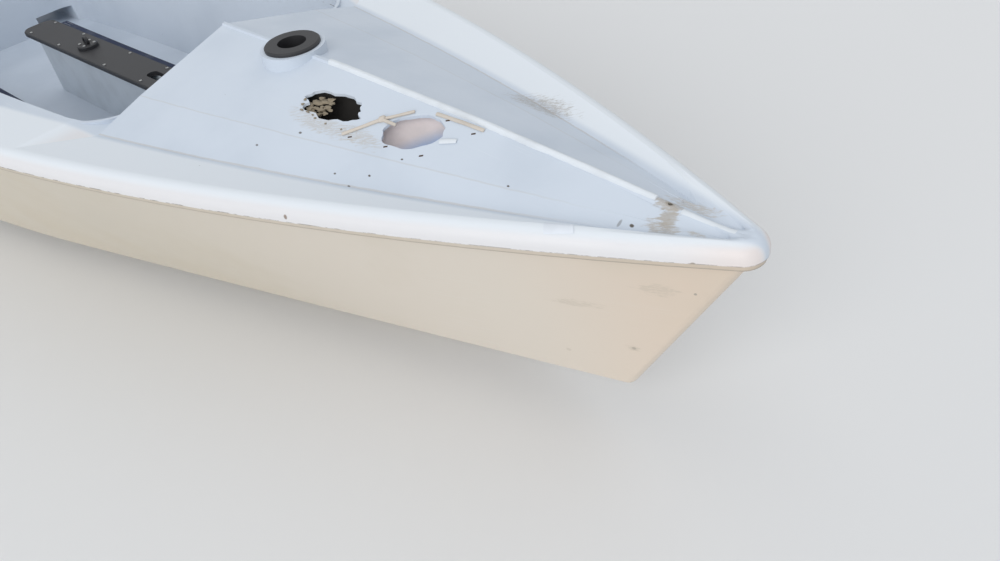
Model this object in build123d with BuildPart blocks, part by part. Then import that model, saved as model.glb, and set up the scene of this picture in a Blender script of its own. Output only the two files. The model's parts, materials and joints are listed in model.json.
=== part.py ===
"""Moulded two-person training dinghy, stored without its rig.

Lengths are millimetres.  +X points to the bow, +Y to port, +Z up, and z = 0 is the floor under
the keel plank.  Plan outlines are given by their station, the distance aft of the stem head.
"""
from build123d import *
from math import asin, atan, cos, pi, radians, sin, sqrt, tan
import os

os.makedirs("parts", exist_ok=True)

# Hull, overall
HULL_LENGTH = 3620
BEAM = 1420
BOW_HEIGHT = 570
RIM_TILT = 0.7
HULL_WALL = 9
DECK_WALL = 8
JOINT_GAP = 0.3
CUT_PAST = 24
EDGE_BREAK = 3

# Gunwale in plan: a nose circle, a long bow arc and a tighter quarter arc, each touching the next.
# The bow arc's own crest would stand outside the half beam by its rise.
GUNWALE_NOSE_RADIUS = 43.2
BOW_ARC_REACH = 3016
BOW_ARC_RISE = 19.6
ARC_JOIN_STATION = 1800
TRANSOM_CORNER = 60
TIGHTEST_NOSE = 4

# Gunwale in section
RIM_DEPTH = 34.6
RIM_STEP = 18.9
RIM_OUTER_ROUND = 27
RIM_CREST_INSET = 33
RIM_RAMP = 100
FLANGE_HEIGHT = 11
FLANGE_INSET = 4
TOPSIDE_INSET = 13

# Underbody
STEM_RAKE = 255
FOREFOOT_HEIGHT = 105
FOREFOOT_RADIUS = 10
CHINE_TILT = 1.6
CHINE_SPREAD = 0.258
CHINE_SWELL = 3
CHINE_ARC_RADIUS = 5700
BILGE_LEVELS = ((20, -10), (4, 4), (-1.5, 26))
TRANSOM_RAKE = 55
KEEL_NOSE_STATION = 1000
KEEL_NOSE_RADIUS = 18
KEEL_NOSE_SPREAD = 0.14
KEEL_HALF_WIDTH = 80
KEEL_SWELL = 1
KEEL_STERN_GAP = 90
KEEL_CORNER = 20

# Foredeck: a low roof with a bead along its ridge
DECK_EDGE_CREST_STATION = 3381
DECK_EDGE_INSET = 143.5
DECK_NOSE_STATION = 34
DECK_NOSE_TOUCH = 52
DECK_NOSE_HALF_WIDTH = 15.9
VALLEY_FILL = 1.2
BULKHEAD_STATION = 1400
RIDGE_START = -15.1
RIDGE_SLOPE = 0.1288
RIDGE_SAG = 3.89e-5
ROOF_STATIONS = (20, 130, 320, 600, 960, 1400)
KNUCKLE_SHARE = 0.68
KNUCKLE_RISE = 5
SPINE_HALF_WIDTH = 4
SPINE_FOOT_HALF_WIDTH = 6
SPINE_RISE = 5
ROOF_WALL = 6
ROOF_OVERLAP = 15
FOOT_MARGIN = 2
ROOF_HEADROOM = 160

# Torn holes in the foredeck: centre station, breadth, reach along, reach across, and how far each
# corner of the broken edge stands out, as a share of the reach
TORN_HOLES = (
    (655, -98, 60, 58, (1, 0.93, 1.02, 0.9, 0.86, 0.97, 1.05, 0.94, 1, 1.08, 0.9, 1.02, 0.95, 1.06)),
    (905, -165, 78, 40, (0.9, 1.1, 0.84, 1, 1.12, 0.8, 1.02, 0.92, 1.1, 0.86)),
)
BOW_SCREW_STATION = 196
BOW_SCREW_RADIUS = 4

# Cockpit
COCKPIT_HALF_WIDTH = 440
COCKPIT_STERN_HALF_WIDTH = 410
COCKPIT_CORNER = 130
COCKPIT_DRAFT = 9
AFT_DECK_LENGTH = 240
FLOOR_HEIGHT = 160
DRAIN_WIDTH = 150
DRAIN_HEIGHT = 60
DRAIN_OFFSET = 265
DRAIN_REACH = 40
DRAIN_PROUD = 2
DUCT_RUN_IN = 160

# Mast socket
MAST_STATION = 1130
MAST_BORE_RADIUS = 32
MAST_TUBE_WALL = 6
MAST_SOCKET_DEPTH = 440
MAST_COLLAR_RADIUS = 62
MAST_COLLAR_HEIGHT = 8
MAST_PAD_RADIUS = 72
MAST_PAD_RISE = 4
MAST_PAD_DEPTH = 45
MAST_STEP_HEIGHT = 62
MAST_STEP_RADIUS = 50

# Board and blade tips: how far the round reaches back, as a share of the half width.  Their bevels
# are given as the width on the face and the depth.
TIP_ROUND_SHARE = 0.7

# Centreboard and its case
BOARD_PIVOT_STATION = 1730
BOARD_PIVOT_HEIGHT = 190
BOARD_HALF_WIDTH = 145
BOARD_TIP_HALF_WIDTH = 110
BOARD_LENGTH = 930
BOARD_THICKNESS = 22
BOARD_BEVEL = (26, 8)
BOARD_SIDE_GAP = 6
BOARD_END_GAP = 22
CASE_WALL = 8
CASE_TOP = 372
CASE_CAP_WIDTH = 112
CASE_CAP_HEIGHT = 14
CASE_CAP_CORNER = 37
CAP_SLOT_LENGTH = 260
PIN_RADIUS = 8
PIN_CLEARANCE = 0.05
PIN_END_GAP = 2
PIN_HEAD_RADIUS = 15
PIN_HEAD_LENGTH = 5

# Rudder hangings
RUDDER_AXIS_GAP = 42
PINTLE_RADIUS = 5
PINTLE_LENGTH = 34
UPPER_GUDGEON_HEIGHT = 430
LOWER_GUDGEON_HEIGHT = 215
LUG_RADIUS = 13
LUG_FLARE = 3
LUG_THICKNESS = 12
LUG_GAP = 1
GUDGEON_PLATE_HALF_HEIGHT = 26
GUDGEON_PLATE_THICKNESS = 5
GUDGEON_HALF_WIDTH = 32

# Rudder
STOCK_THICKNESS = 46
STOCK_FRONT_GAP = 22
STOCK_LENGTH = 104
STOCK_TOP = 634
STOCK_BOTTOM = 176
STOCK_SPINE = 30
STOCK_SHOULDER = 150
STOCK_HEAD_ROUND = 20
BLADE_PIVOT_GAP = 158
BLADE_PIVOT_HEIGHT = 235
BLADE_THICKNESS = 18
BLADE_SIDE_GAP = 5
BLADE_HALF_WIDTH = 100
BLADE_TIP_HALF_WIDTH = 78
BLADE_LENGTH = 620
BLADE_BEVEL = (18, 6)
CHEEK_RADIUS = 62
BLADE_BOLT_RADIUS = 6

# Tiller and its extension
TILLER_HEIGHT = 592
TILLER_RADIUS = 16
TILLER_LENGTH = 860
TILLER_TAIL = 14
EXTENSION_RADIUS = 11
EXTENSION_LENGTH = 760
SWIVEL_SETBACK = 24
SWIVEL_RADIUS = 15
SWIVEL_BOSS_HEIGHT = 7
SWIVEL_DISC_HEIGHT = 10
SWIVEL_EAR_THICKNESS = 5
SWIVEL_PIN_RADIUS = 4
SWIVEL_SPIGOT_LENGTH = 18
SWIVEL_EYE_SHARE = 0.6
SWIVEL_PIN_HEIGHT = 30
SWIVEL_FLOAT = 0.3
SWIVEL_EAR_HALF = 7
SWIVEL_EAR_GAP = 1
EXTENSION_NECK = 18
EXTENSION_EYE = 7

# Toe straps
STRAP_WIDTH = 50
STRAP_THICKNESS = 4
STRAP_OFFSET = 215
STRAP_RISE = 62
STRAP_LENGTH = 1500
STRAP_START_STATION = 1640
ANCHOR_LENGTH = 40
POST_DRAFT = 2

# Mainsheet base on the case
SHEET_BASE_STATION = 2330
SHEET_BASE_RADIUS = 32
SHEET_BASE_HEIGHT = 12
SHEET_EYE_RADIUS = 14
SHEET_EYE_BORE = 8
SHEET_EYE_WIDTH = 9

# Places that follow from the sizes.  The raised rudder blade ends the part aft.
HALF_BEAM = BEAM / 2
RUDDER_AXIS_STATION = HULL_LENGTH + RUDDER_AXIS_GAP
BLADE_PIVOT_STATION = RUDDER_AXIS_STATION + BLADE_PIVOT_GAP
BOW_X = (BLADE_PIVOT_STATION + BLADE_LENGTH) / 2
RUDDER_AXIS_X = BOW_X - RUDDER_AXIS_STATION
BLADE_PIVOT_X = BOW_X - BLADE_PIVOT_STATION
BOARD_PIVOT_X = BOW_X - BOARD_PIVOT_STATION
MAST_X = BOW_X - MAST_STATION
COCKPIT_STERN_STATION = HULL_LENGTH - AFT_DECK_LENGTH


def on_plane(local_plane, forward, port):
    """A point of a plane, given by its distance forward and to port of the plane's origin."""
    return local_plane.from_local_coords(Vector(forward, port, 0))


def rim_plane(drop=0):
    """The plane of the gunwale's crest, lowered by drop, with its origin at the stem head."""
    forward = (cos(radians(RIM_TILT)), 0, sin(radians(RIM_TILT)))
    upward = (-sin(radians(RIM_TILT)), 0, cos(radians(RIM_TILT)))
    return Plane(origin=(BOW_X, 0, BOW_HEIGHT), x_dir=forward, z_dir=upward).offset(-drop)


def chine_plane(lift=0):
    """The plane that holds the chine, falling gently aft of the forefoot."""
    forward = (cos(radians(CHINE_TILT)), 0, sin(radians(CHINE_TILT)))
    upward = (-sin(radians(CHINE_TILT)), 0, cos(radians(CHINE_TILT)))
    height = FOREFOOT_HEIGHT + STEM_RAKE * tan(radians(CHINE_TILT)) + lift
    return Plane(origin=(BOW_X, 0, height), x_dir=forward, z_dir=upward)


def keel_plane(lift=0):
    """The floor under the keel plank."""
    return Plane(origin=(BOW_X, 0, lift))


def arc_breadth(radius, crest_station, crest_breadth, station):
    """Half breadth of a long arc whose widest point is the crest."""
    return crest_breadth - radius + sqrt(radius ** 2 - (crest_station - station) ** 2)


def plan_outline(nose_station, points):
    """Closed plan outline in the current plane, whose origin is at the stem head."""
    shoulder, bow_middle, join, quarter_middle, stern = points
    for side in (1, -1):
        bow_run = (shoulder, bow_middle, join)
        quarter_run = (join, quarter_middle, stern)
        for run in (bow_run, quarter_run):
            ThreePointArc(*[(-station, side * breadth) for station, breadth in run])
    ThreePointArc((-shoulder[0], -shoulder[1]), (-nose_station, 0), (-shoulder[0], shoulder[1]))
    Line((-stern[0], -stern[1]), (-stern[0], stern[1]))


# Bow arc: it touches the nose circle, whose front is the stem head
BOW_CREST_BREADTH = HALF_BEAM + BOW_ARC_RISE
NOSE_TO_CREST = BOW_ARC_REACH - GUNWALE_NOSE_RADIUS
BOW_ARC_RADIUS = (NOSE_TO_CREST ** 2 + BOW_CREST_BREADTH ** 2 - GUNWALE_NOSE_RADIUS ** 2) / (
    2 * (BOW_CREST_BREADTH - GUNWALE_NOSE_RADIUS))
GUNWALE_NOSE_SPREAD = tan(asin(NOSE_TO_CREST / (BOW_ARC_RADIUS - GUNWALE_NOSE_RADIUS)))

# Quarter arc: it takes over where the bow arc has the same slope, and its crest is the half beam
JOIN_SLOPE = (BOW_ARC_REACH - ARC_JOIN_STATION) / BOW_ARC_RADIUS
QUARTER_ARC_RADIUS = BOW_ARC_RADIUS - BOW_ARC_RISE / (1 - sqrt(1 - JOIN_SLOPE ** 2))
QUARTER_CREST_STATION = ARC_JOIN_STATION + JOIN_SLOPE * QUARTER_ARC_RADIUS


def gunwale_breadth(station):
    if station < ARC_JOIN_STATION:
        return arc_breadth(BOW_ARC_RADIUS, BOW_ARC_REACH, BOW_CREST_BREADTH, station)
    return arc_breadth(QUARTER_ARC_RADIUS, QUARTER_CREST_STATION, HALF_BEAM, station)


# Chine: a forefoot circle, a nearly straight spread, then an arc that turns it fore and aft
CHINE_ANGLE = atan(CHINE_SPREAD)
CHINE_APEX_STATION = STEM_RAKE + FOREFOOT_RADIUS * (1 - 1 / sin(CHINE_ANGLE))
CHINE_SHOULDER = STEM_RAKE + FOREFOOT_RADIUS * (1 - sin(CHINE_ANGLE))
CHINE_CREST_STATION = ARC_JOIN_STATION + CHINE_ARC_RADIUS * sin(CHINE_ANGLE)
CHINE_CREST_BREADTH = CHINE_SPREAD * (ARC_JOIN_STATION - CHINE_APEX_STATION) + (
    CHINE_ARC_RADIUS * (1 - cos(CHINE_ANGLE)))


def chine_breadth(station):
    if station < ARC_JOIN_STATION:
        share = (station - CHINE_SHOULDER) / (ARC_JOIN_STATION - CHINE_SHOULDER)
        swell = CHINE_SWELL * sin(share * pi)
        return CHINE_SPREAD * (station - CHINE_APEX_STATION) + swell
    return arc_breadth(CHINE_ARC_RADIUS, CHINE_CREST_STATION, CHINE_CREST_BREADTH, station)


def keel_breadth(station):
    """The plank opens from its nose to its full width, and swells slightly behind that."""
    if station < ARC_JOIN_STATION:
        share = (station - KEEL_NOSE_STATION) / (ARC_JOIN_STATION - KEEL_NOSE_STATION)
        return KEEL_NOSE_RADIUS + (KEEL_HALF_WIDTH - KEEL_NOSE_RADIUS) * sin(share * pi / 2)
    share = (station - ARC_JOIN_STATION) / (HULL_LENGTH - KEEL_STERN_GAP - ARC_JOIN_STATION)
    return KEEL_HALF_WIDTH + KEEL_SWELL * sin(share * pi)


def drawn_in_breadth(breadth, station, inset):
    """Half breadth of a side that is drawn in square to itself by an inset."""
    slope = breadth(station + 1) - breadth(station)
    return breadth(station) - inset * sqrt(1 + slope ** 2)


def drawn_in_plan(breadth, front, radius, spread, stern, inset):
    """A plan's nose station and side points, drawn in by an inset all round.

    The nose stays round: once its circle would be too tight, it moves aft between the sides.
    """
    turn = atan(spread)
    nose_radius = max(radius - inset, TIGHTEST_NOSE)
    centre = front + radius + (inset + nose_radius - radius) / sin(turn)
    shoulder = centre - nose_radius * sin(turn)
    points = [(shoulder, nose_radius * cos(turn))]
    for station in ((shoulder + ARC_JOIN_STATION) / 2, ARC_JOIN_STATION,
                    (ARC_JOIN_STATION + stern) / 2, stern - inset):
        points.append((station, drawn_in_breadth(breadth, station, inset)))
    return centre - nose_radius, points


def gunwale_plan(inset):
    return drawn_in_plan(gunwale_breadth, 0, GUNWALE_NOSE_RADIUS, GUNWALE_NOSE_SPREAD,
                         HULL_LENGTH, inset)


def chine_plan(inset):
    return drawn_in_plan(chine_breadth, STEM_RAKE, FOREFOOT_RADIUS, CHINE_SPREAD,
                         HULL_LENGTH - TRANSOM_RAKE, inset)


def keel_plan(inset):
    return drawn_in_plan(keel_breadth, KEEL_NOSE_STATION, KEEL_NOSE_RADIUS, KEEL_NOSE_SPREAD,
                         HULL_LENGTH - KEEL_STERN_GAP, inset)


def level_face(plane, plan, corner, rounded=False):
    """One level of the hull as a face, with its transom corners rounded or cut off."""
    with BuildSketch(plane) as level:
        with BuildLine():
            plan_outline(*plan)
        make_face()
        stern_corners = level.vertices().group_by(Axis.X)[0]
        if rounded:
            fillet(stern_corners, corner)
        else:
            chamfer(stern_corners, corner)
    return level.sketch


def gunwale_face(drop, inset):
    """The gunwale's plan at a drop below its crest."""
    return level_face(rim_plane(drop), gunwale_plan(inset), TRANSOM_CORNER - inset, rounded=True)


def hull_form(wall):
    """The hull below the gunwale, or its inside: ruled sides, a rounded bilge, a ruled bottom."""
    levels = [gunwale_face(RIM_DEPTH, TOPSIDE_INSET + wall)]
    for bilge_lift, bilge_inset in BILGE_LEVELS:
        inset = wall + bilge_inset
        levels.append(level_face(chine_plane(wall + bilge_lift), chine_plan(inset),
                                 TRANSOM_CORNER - inset))
    levels.append(level_face(keel_plane(wall), keel_plan(wall), KEEL_CORNER - wall))
    with BuildPart() as form:
        loft(sections=levels, ruled=True)
    return form.part


def rim_height(station):
    """Height of the gunwale's crest plane above the floor."""
    return BOW_HEIGHT - station * tan(radians(RIM_TILT))


# Deck edge: an arc from the deck's nose to its crest beside the side deck
DECK_EDGE_CREST_BREADTH = HALF_BEAM - DECK_EDGE_INSET
DECK_EDGE_SPREAD = DECK_EDGE_CREST_BREADTH - DECK_NOSE_HALF_WIDTH
DECK_EDGE_REACH = DECK_EDGE_CREST_STATION - DECK_NOSE_TOUCH
DECK_EDGE_RADIUS = (DECK_EDGE_REACH ** 2 + DECK_EDGE_SPREAD ** 2) / (2 * DECK_EDGE_SPREAD)


def deck_edge_breadth(station):
    """Half breadth of the line where the deck meets the raised gunwale."""
    return arc_breadth(DECK_EDGE_RADIUS, DECK_EDGE_CREST_STATION, DECK_EDGE_CREST_BREADTH, station)


def ridge_height(station):
    """Height of the foredeck's ridge over the gunwale's crest plane."""
    return RIDGE_START + RIDGE_SLOPE * station - RIDGE_SAG * station ** 2


def rim_crest_breadth(station):
    """Half breadth of the line where the gunwale's inner slope reaches its crest."""
    inner_limit = deck_edge_breadth(station) + JOINT_GAP
    return max(gunwale_breadth(station) - RIM_CREST_INSET, inner_limit)


def foredeck_face(plane, breadth, stern, growth=0):
    """The foredeck's plan at one level, from its nose to a station just past the bulkhead."""
    middle = (DECK_NOSE_TOUCH + stern) / 2
    run = [(s, breadth(s) + growth) for s in (DECK_NOSE_TOUCH, middle, stern)]
    with BuildSketch(plane) as face:
        with BuildLine():
            for side in (1, -1):
                ThreePointArc(*[(-s, side * half) for s, half in run])
            nose = (-DECK_NOSE_STATION + growth, 0)
            ThreePointArc((-run[0][0], -run[0][1]), nose, (-run[0][0], run[0][1]))
            Line((-stern, -run[2][1]), (-stern, run[2][1]))
        make_face()
    return face.sketch


def roof_section(station, drop):
    """Cross-section of the foredeck roof in a plane across the boat, y to port, z up."""
    valley = deck_edge_breadth(max(station, DECK_NOSE_STATION))
    valley_height = VALLEY_FILL - RIM_STEP
    ridge = ridge_height(station) - SPINE_RISE
    knuckle = KNUCKLE_SHARE * valley
    rise = KNUCKLE_RISE * min(1, station / ROOF_STATIONS[3])
    knuckle_height = ridge + (valley_height - ridge) * KNUCKLE_SHARE + rise
    fall = (knuckle_height - valley_height) / (valley - knuckle)
    eave = valley + ROOF_OVERLAP
    eave_height = valley_height - fall * ROOF_OVERLAP
    half = [
        (eave, -RIM_DEPTH - drop),
        (eave, max(eave_height, -RIM_DEPTH + JOINT_GAP) - drop),
        (knuckle, knuckle_height - drop),
        (SPINE_FOOT_HALF_WIDTH, ridge - drop),
        (SPINE_HALF_WIDTH, ridge + SPINE_RISE - drop),
    ]
    return half + [(-breadth, height) for breadth, height in reversed(half)]


def roof_form(drop, end_station):
    """The foredeck roof as one ruled solid, lofted through its cross-sections."""
    sections = []
    for station in (*ROOF_STATIONS[:-1], end_station):
        crest = rim_plane()
        across = Plane(origin=on_plane(crest, -station, 0), x_dir=(0, 1, 0), z_dir=crest.x_dir)
        with BuildSketch(across) as section:
            with BuildLine():
                Polyline(roof_section(station, drop), close=True)
            make_face()
        sections.append(section.sketch)
    with BuildPart() as form:
        loft(sections=sections, ruled=True)
    return form.part


def foredeck_opening(wall):
    """What the gunwale leaves free for the foredeck: upright sides, then a slope to the crest."""
    valley_stern = BULKHEAD_STATION - DECK_WALL
    levels = (
        (2 * RIM_DEPTH + wall, deck_edge_breadth, valley_stern),
        (RIM_STEP + wall, deck_edge_breadth, valley_stern),
        (wall, rim_crest_breadth, valley_stern + RIM_RAMP),
        (wall - RIM_DEPTH, rim_crest_breadth, valley_stern + RIM_RAMP),
    )
    with BuildPart() as opening:
        loft(sections=[foredeck_face(rim_plane(drop), breadth, stern, wall)
                       for drop, breadth, stern in levels], ruled=True)
    return opening.part


def foredeck_crown(wall, roof):
    """The roofed foredeck down to the gunwale's foot, or with a wall the hollow under it."""
    plan = foredeck_face(rim_plane(RIM_DEPTH + wall), deck_edge_breadth,
                         BULKHEAD_STATION + DECK_WALL, DECK_WALL + FOOT_MARGIN)
    with BuildPart() as crown:
        extrude(plan, amount=ROOF_HEADROOM)
        add(roof, mode=Mode.INTERSECT)
    return crown.part


def gunwale_hollow():
    """The space under the gunwale and side decks."""
    with BuildPart() as hollow:
        loft(sections=(gunwale_face(RIM_DEPTH + DECK_WALL, DECK_WALL),
                       gunwale_face(RIM_OUTER_ROUND, DECK_WALL),
                       gunwale_face(DECK_WALL, RIM_OUTER_ROUND)), ruled=True)
        add(foredeck_opening(DECK_WALL), mode=Mode.SUBTRACT)
    return hollow.part


def cockpit_mouth(growth, top_drop):
    """The well's plan where it opens, in the gunwale plane less a drop."""
    front = BULKHEAD_STATION - growth
    stern = COCKPIT_STERN_STATION + growth
    stations = (front, (front + stern) / 2, stern)
    halves = (deck_edge_breadth(BULKHEAD_STATION), COCKPIT_HALF_WIDTH, COCKPIT_STERN_HALF_WIDTH)
    corners = [(station, half + growth) for station, half in zip(stations, halves)]
    with BuildSketch(rim_plane(top_drop)) as mouth:
        with BuildLine():
            for side in (1, -1):
                ThreePointArc(*[(-station, side * half) for station, half in corners])
            for station, half in (corners[0], corners[2]):
                Line((-station, -half), (-station, half))
        make_face()
        fillet(mouth.vertices(), COCKPIT_CORNER + growth)
    return mouth.sketch


def cockpit_well(growth, bottom, top_drop):
    """The well's form: sides with a moulding draft, from the mouth down to a level floor."""
    with BuildPart() as well:
        extrude(cockpit_mouth(growth, top_drop), amount=-BOW_HEIGHT, taper=COCKPIT_DRAFT)
        split(bisect_by=keel_plane(bottom), keep=Keep.TOP)
    return well.part


def transom_x(height):
    """X of the transom's outside at a height, between the gunwale and the chine."""
    top_height = BOW_HEIGHT - HULL_LENGTH * sin(radians(RIM_TILT)) - RIM_DEPTH
    top_x = BOW_X - HULL_LENGTH + TOPSIDE_INSET
    foot_height = BILGE_LEVELS[0][0]
    foot_x = BOW_X - HULL_LENGTH + TRANSOM_RAKE + BILGE_LEVELS[0][1]
    return top_x + (top_height - height) / (top_height - foot_height) * (foot_x - top_x)


# Centreboard case: an upright box round the raised board
CASE_INNER_WIDTH = BOARD_THICKNESS + 2 * BOARD_SIDE_GAP
CASE_WIDTH = CASE_INNER_WIDTH + 2 * CASE_WALL
CASE_FRONT_X = BOARD_PIVOT_X + BOARD_HALF_WIDTH + BOARD_END_GAP + CASE_WALL
CASE_STERN_X = BOARD_PIVOT_X - BOARD_LENGTH - BOARD_END_GAP - CASE_WALL
CASE_LENGTH = CASE_FRONT_X - CASE_STERN_X
CASE_MIDDLE_X = (CASE_FRONT_X + CASE_STERN_X) / 2


def case_sketch_plane(height):
    return Plane(origin=(CASE_MIDDLE_X, 0, height))


# Hull shell with its flange, the mast step and the slot of the centreboard case
hull_outside = hull_form(0)
hull_inside = hull_form(HULL_WALL)

with BuildPart() as hull:
    add(hull_outside)
    extrude(gunwale_face(RIM_DEPTH, FLANGE_INSET), amount=-FLANGE_HEIGHT)
    add(hull_inside, mode=Mode.SUBTRACT)
    with BuildSketch(Plane(origin=(MAST_X, 0, HULL_WALL / 2))):
        Circle(MAST_STEP_RADIUS)
    extrude(amount=MAST_STEP_HEIGHT - HULL_WALL / 2)
    with BuildSketch(case_sketch_plane(-1)):
        RectangleRounded(CASE_LENGTH + 2 * JOINT_GAP, CASE_WIDTH + 2 * JOINT_GAP, CASE_WALL)
    extrude(amount=CASE_TOP, mode=Mode.SUBTRACT)
    with BuildSketch(Plane.YZ.offset(transom_x(FLOOR_HEIGHT) - DRAIN_REACH)):
        with Locations(*[(side * DRAIN_OFFSET, FLOOR_HEIGHT + DRAIN_HEIGHT / 2) for side in (-1, 1)]):
            Rectangle(DRAIN_WIDTH + 2 * DECK_WALL, DRAIN_HEIGHT + 2 * DECK_WALL)
    extrude(amount=2 * DRAIN_REACH, mode=Mode.SUBTRACT)

hull.part.label = "hull"
export_step(hull.part, "parts/hull.step")

# Deck moulding: gunwale, foredeck roof, cockpit well, drains and the mast pad
MAST_PAD_TOP = rim_height(MAST_STATION) + ridge_height(MAST_STATION) + MAST_PAD_RISE
GUNWALE_BLANK = 3 * RIM_DEPTH
roof_outside = roof_form(0, BULKHEAD_STATION)
roof_inside = roof_form(ROOF_WALL, BULKHEAD_STATION - DECK_WALL)
well_mouth = cockpit_mouth(0, 0)
well_inside = cockpit_well(0, FLOOR_HEIGHT, 0)
well_walls = cockpit_well(DECK_WALL, FLOOR_HEIGHT - DECK_WALL, DECK_WALL / 2)


def torn_outline(station, breadth, reach_along, reach_across, corners):
    """A broken hole's edge: corners round an oval, each a little in or out."""
    points = []
    for index, stretch in enumerate(corners):
        turn = 2 * pi * index / len(corners)
        points.append((-station + stretch * reach_along * cos(turn),
                       breadth + stretch * reach_across * sin(turn)))
    Polyline(points, close=True)


# Drain ducts run aft from inside the well, over its floor, to just outside the transom
DUCT_START_X = BOW_X - COCKPIT_STERN_STATION + DUCT_RUN_IN
DUCT_LENGTH = DUCT_START_X - transom_x(FLOOR_HEIGHT) + DRAIN_PROUD


def drain_plane(side):
    return Plane(origin=(DUCT_START_X, side * DRAIN_OFFSET, FLOOR_HEIGHT + DRAIN_HEIGHT / 2),
                 x_dir=(0, 1, 0), z_dir=(-1, 0, 0))


with BuildPart() as deck:
    extrude(gunwale_face(GUNWALE_BLANK, 0), amount=GUNWALE_BLANK)
    fillet(deck.faces().sort_by(Axis.Z)[-1].edges(), RIM_OUTER_ROUND)
    split(bisect_by=rim_plane(RIM_DEPTH), keep=Keep.TOP)
    add(foredeck_opening(0), mode=Mode.SUBTRACT)
    add(foredeck_crown(0, roof_outside))
    add(gunwale_hollow(), mode=Mode.SUBTRACT)
    add(foredeck_crown(DECK_WALL, roof_inside), mode=Mode.SUBTRACT)
    add(well_walls)
    for side in (-1, 1):
        with BuildSketch(drain_plane(side)):
            Rectangle(DRAIN_WIDTH + 2 * DECK_WALL - 2 * JOINT_GAP,
                      DRAIN_HEIGHT + 2 * DECK_WALL - 2 * JOINT_GAP)
        extrude(amount=DUCT_LENGTH)
    add(well_inside, mode=Mode.SUBTRACT)
    extrude(well_mouth, amount=ROOF_HEADROOM, mode=Mode.SUBTRACT)
    for side in (-1, 1):
        with BuildSketch(drain_plane(side)):
            Rectangle(DRAIN_WIDTH, DRAIN_HEIGHT)
        extrude(amount=DUCT_LENGTH + CUT_PAST, mode=Mode.SUBTRACT)
    with BuildSketch(Plane(origin=(MAST_X, 0, MAST_PAD_TOP))):
        Circle(MAST_PAD_RADIUS)
    extrude(amount=-MAST_PAD_DEPTH)
    with BuildSketch(Plane(origin=(MAST_X, 0, MAST_PAD_TOP))):
        Circle(MAST_BORE_RADIUS + MAST_TUBE_WALL + JOINT_GAP)
    extrude(amount=-2 * MAST_PAD_DEPTH, mode=Mode.SUBTRACT)
    for station, breadth, along, across, corners in TORN_HOLES:
        with BuildSketch(rim_plane(RIM_DEPTH)):
            with BuildLine():
                torn_outline(station, breadth, along, across, corners)
            make_face()
        extrude(amount=ROOF_HEADROOM, mode=Mode.SUBTRACT)
    with BuildSketch(rim_plane(RIM_DEPTH)):
        with Locations((-BOW_SCREW_STATION, 0)):
            Circle(BOW_SCREW_RADIUS)
    extrude(amount=ROOF_HEADROOM, mode=Mode.SUBTRACT)
    with BuildSketch(case_sketch_plane(FLOOR_HEIGHT - CUT_PAST)):
        RectangleRounded(CASE_LENGTH + 2 * JOINT_GAP, CASE_WIDTH + 2 * JOINT_GAP, CASE_WALL)
    extrude(amount=2 * CUT_PAST, mode=Mode.SUBTRACT)

deck.part.label = "deck"
export_step(deck.part, "parts/deck.step")

# Mast tube: stands on the hull's step, with a collar on the deck's pad
MAST_TUBE_TOP = MAST_PAD_TOP + MAST_COLLAR_HEIGHT

with BuildPart() as mast_tube:
    with BuildSketch(Plane(origin=(MAST_X, 0, MAST_STEP_HEIGHT))):
        Circle(MAST_BORE_RADIUS + MAST_TUBE_WALL)
    extrude(amount=MAST_TUBE_TOP - MAST_STEP_HEIGHT)
    with BuildSketch(Plane(origin=(MAST_X, 0, MAST_PAD_TOP))):
        Circle(MAST_COLLAR_RADIUS)
    extrude(amount=MAST_COLLAR_HEIGHT)
    chamfer(mast_tube.faces().sort_by(Axis.Z)[-1].edges(), EDGE_BREAK)
    with BuildSketch(Plane(origin=(MAST_X, 0, MAST_TUBE_TOP))):
        Circle(MAST_BORE_RADIUS)
    extrude(amount=-MAST_SOCKET_DEPTH, mode=Mode.SUBTRACT)

mast_tube.part.label = "mast_tube"
export_step(mast_tube.part, "parts/mast_tube.step")

# Centreboard case and its capping
with BuildPart() as centreboard_case:
    with BuildSketch(case_sketch_plane(0)):
        RectangleRounded(CASE_LENGTH, CASE_WIDTH, CASE_WALL)
        RectangleRounded(CASE_LENGTH - 2 * CASE_WALL, CASE_INNER_WIDTH, CASE_WALL / 2,
                         mode=Mode.SUBTRACT)
    extrude(amount=CASE_TOP)
    with BuildSketch(Plane.XZ.offset(-CASE_WIDTH)):
        with Locations((BOARD_PIVOT_X, BOARD_PIVOT_HEIGHT)):
            Circle(PIN_RADIUS + PIN_CLEARANCE)
    extrude(amount=2 * CASE_WIDTH, mode=Mode.SUBTRACT)

centreboard_case.part.label = "centreboard_case"
export_step(centreboard_case.part, "parts/centreboard_case.step")

with BuildPart() as case_cap:
    with BuildSketch(case_sketch_plane(CASE_TOP)):
        RectangleRounded(CASE_LENGTH + CASE_CAP_WIDTH - CASE_WIDTH, CASE_CAP_WIDTH,
                         CASE_CAP_CORNER)
        with Locations((CASE_LENGTH / 2 - CAP_SLOT_LENGTH, 0)):
            SlotOverall(CAP_SLOT_LENGTH, CASE_INNER_WIDTH, mode=Mode.SUBTRACT)
    extrude(amount=CASE_CAP_HEIGHT)
    chamfer(case_cap.faces().sort_by(Axis.Z)[-1].outer_wire().edges(), EDGE_BREAK)

case_cap.part.label = "case_cap"
export_step(case_cap.part, "parts/case_cap.step")


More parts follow.
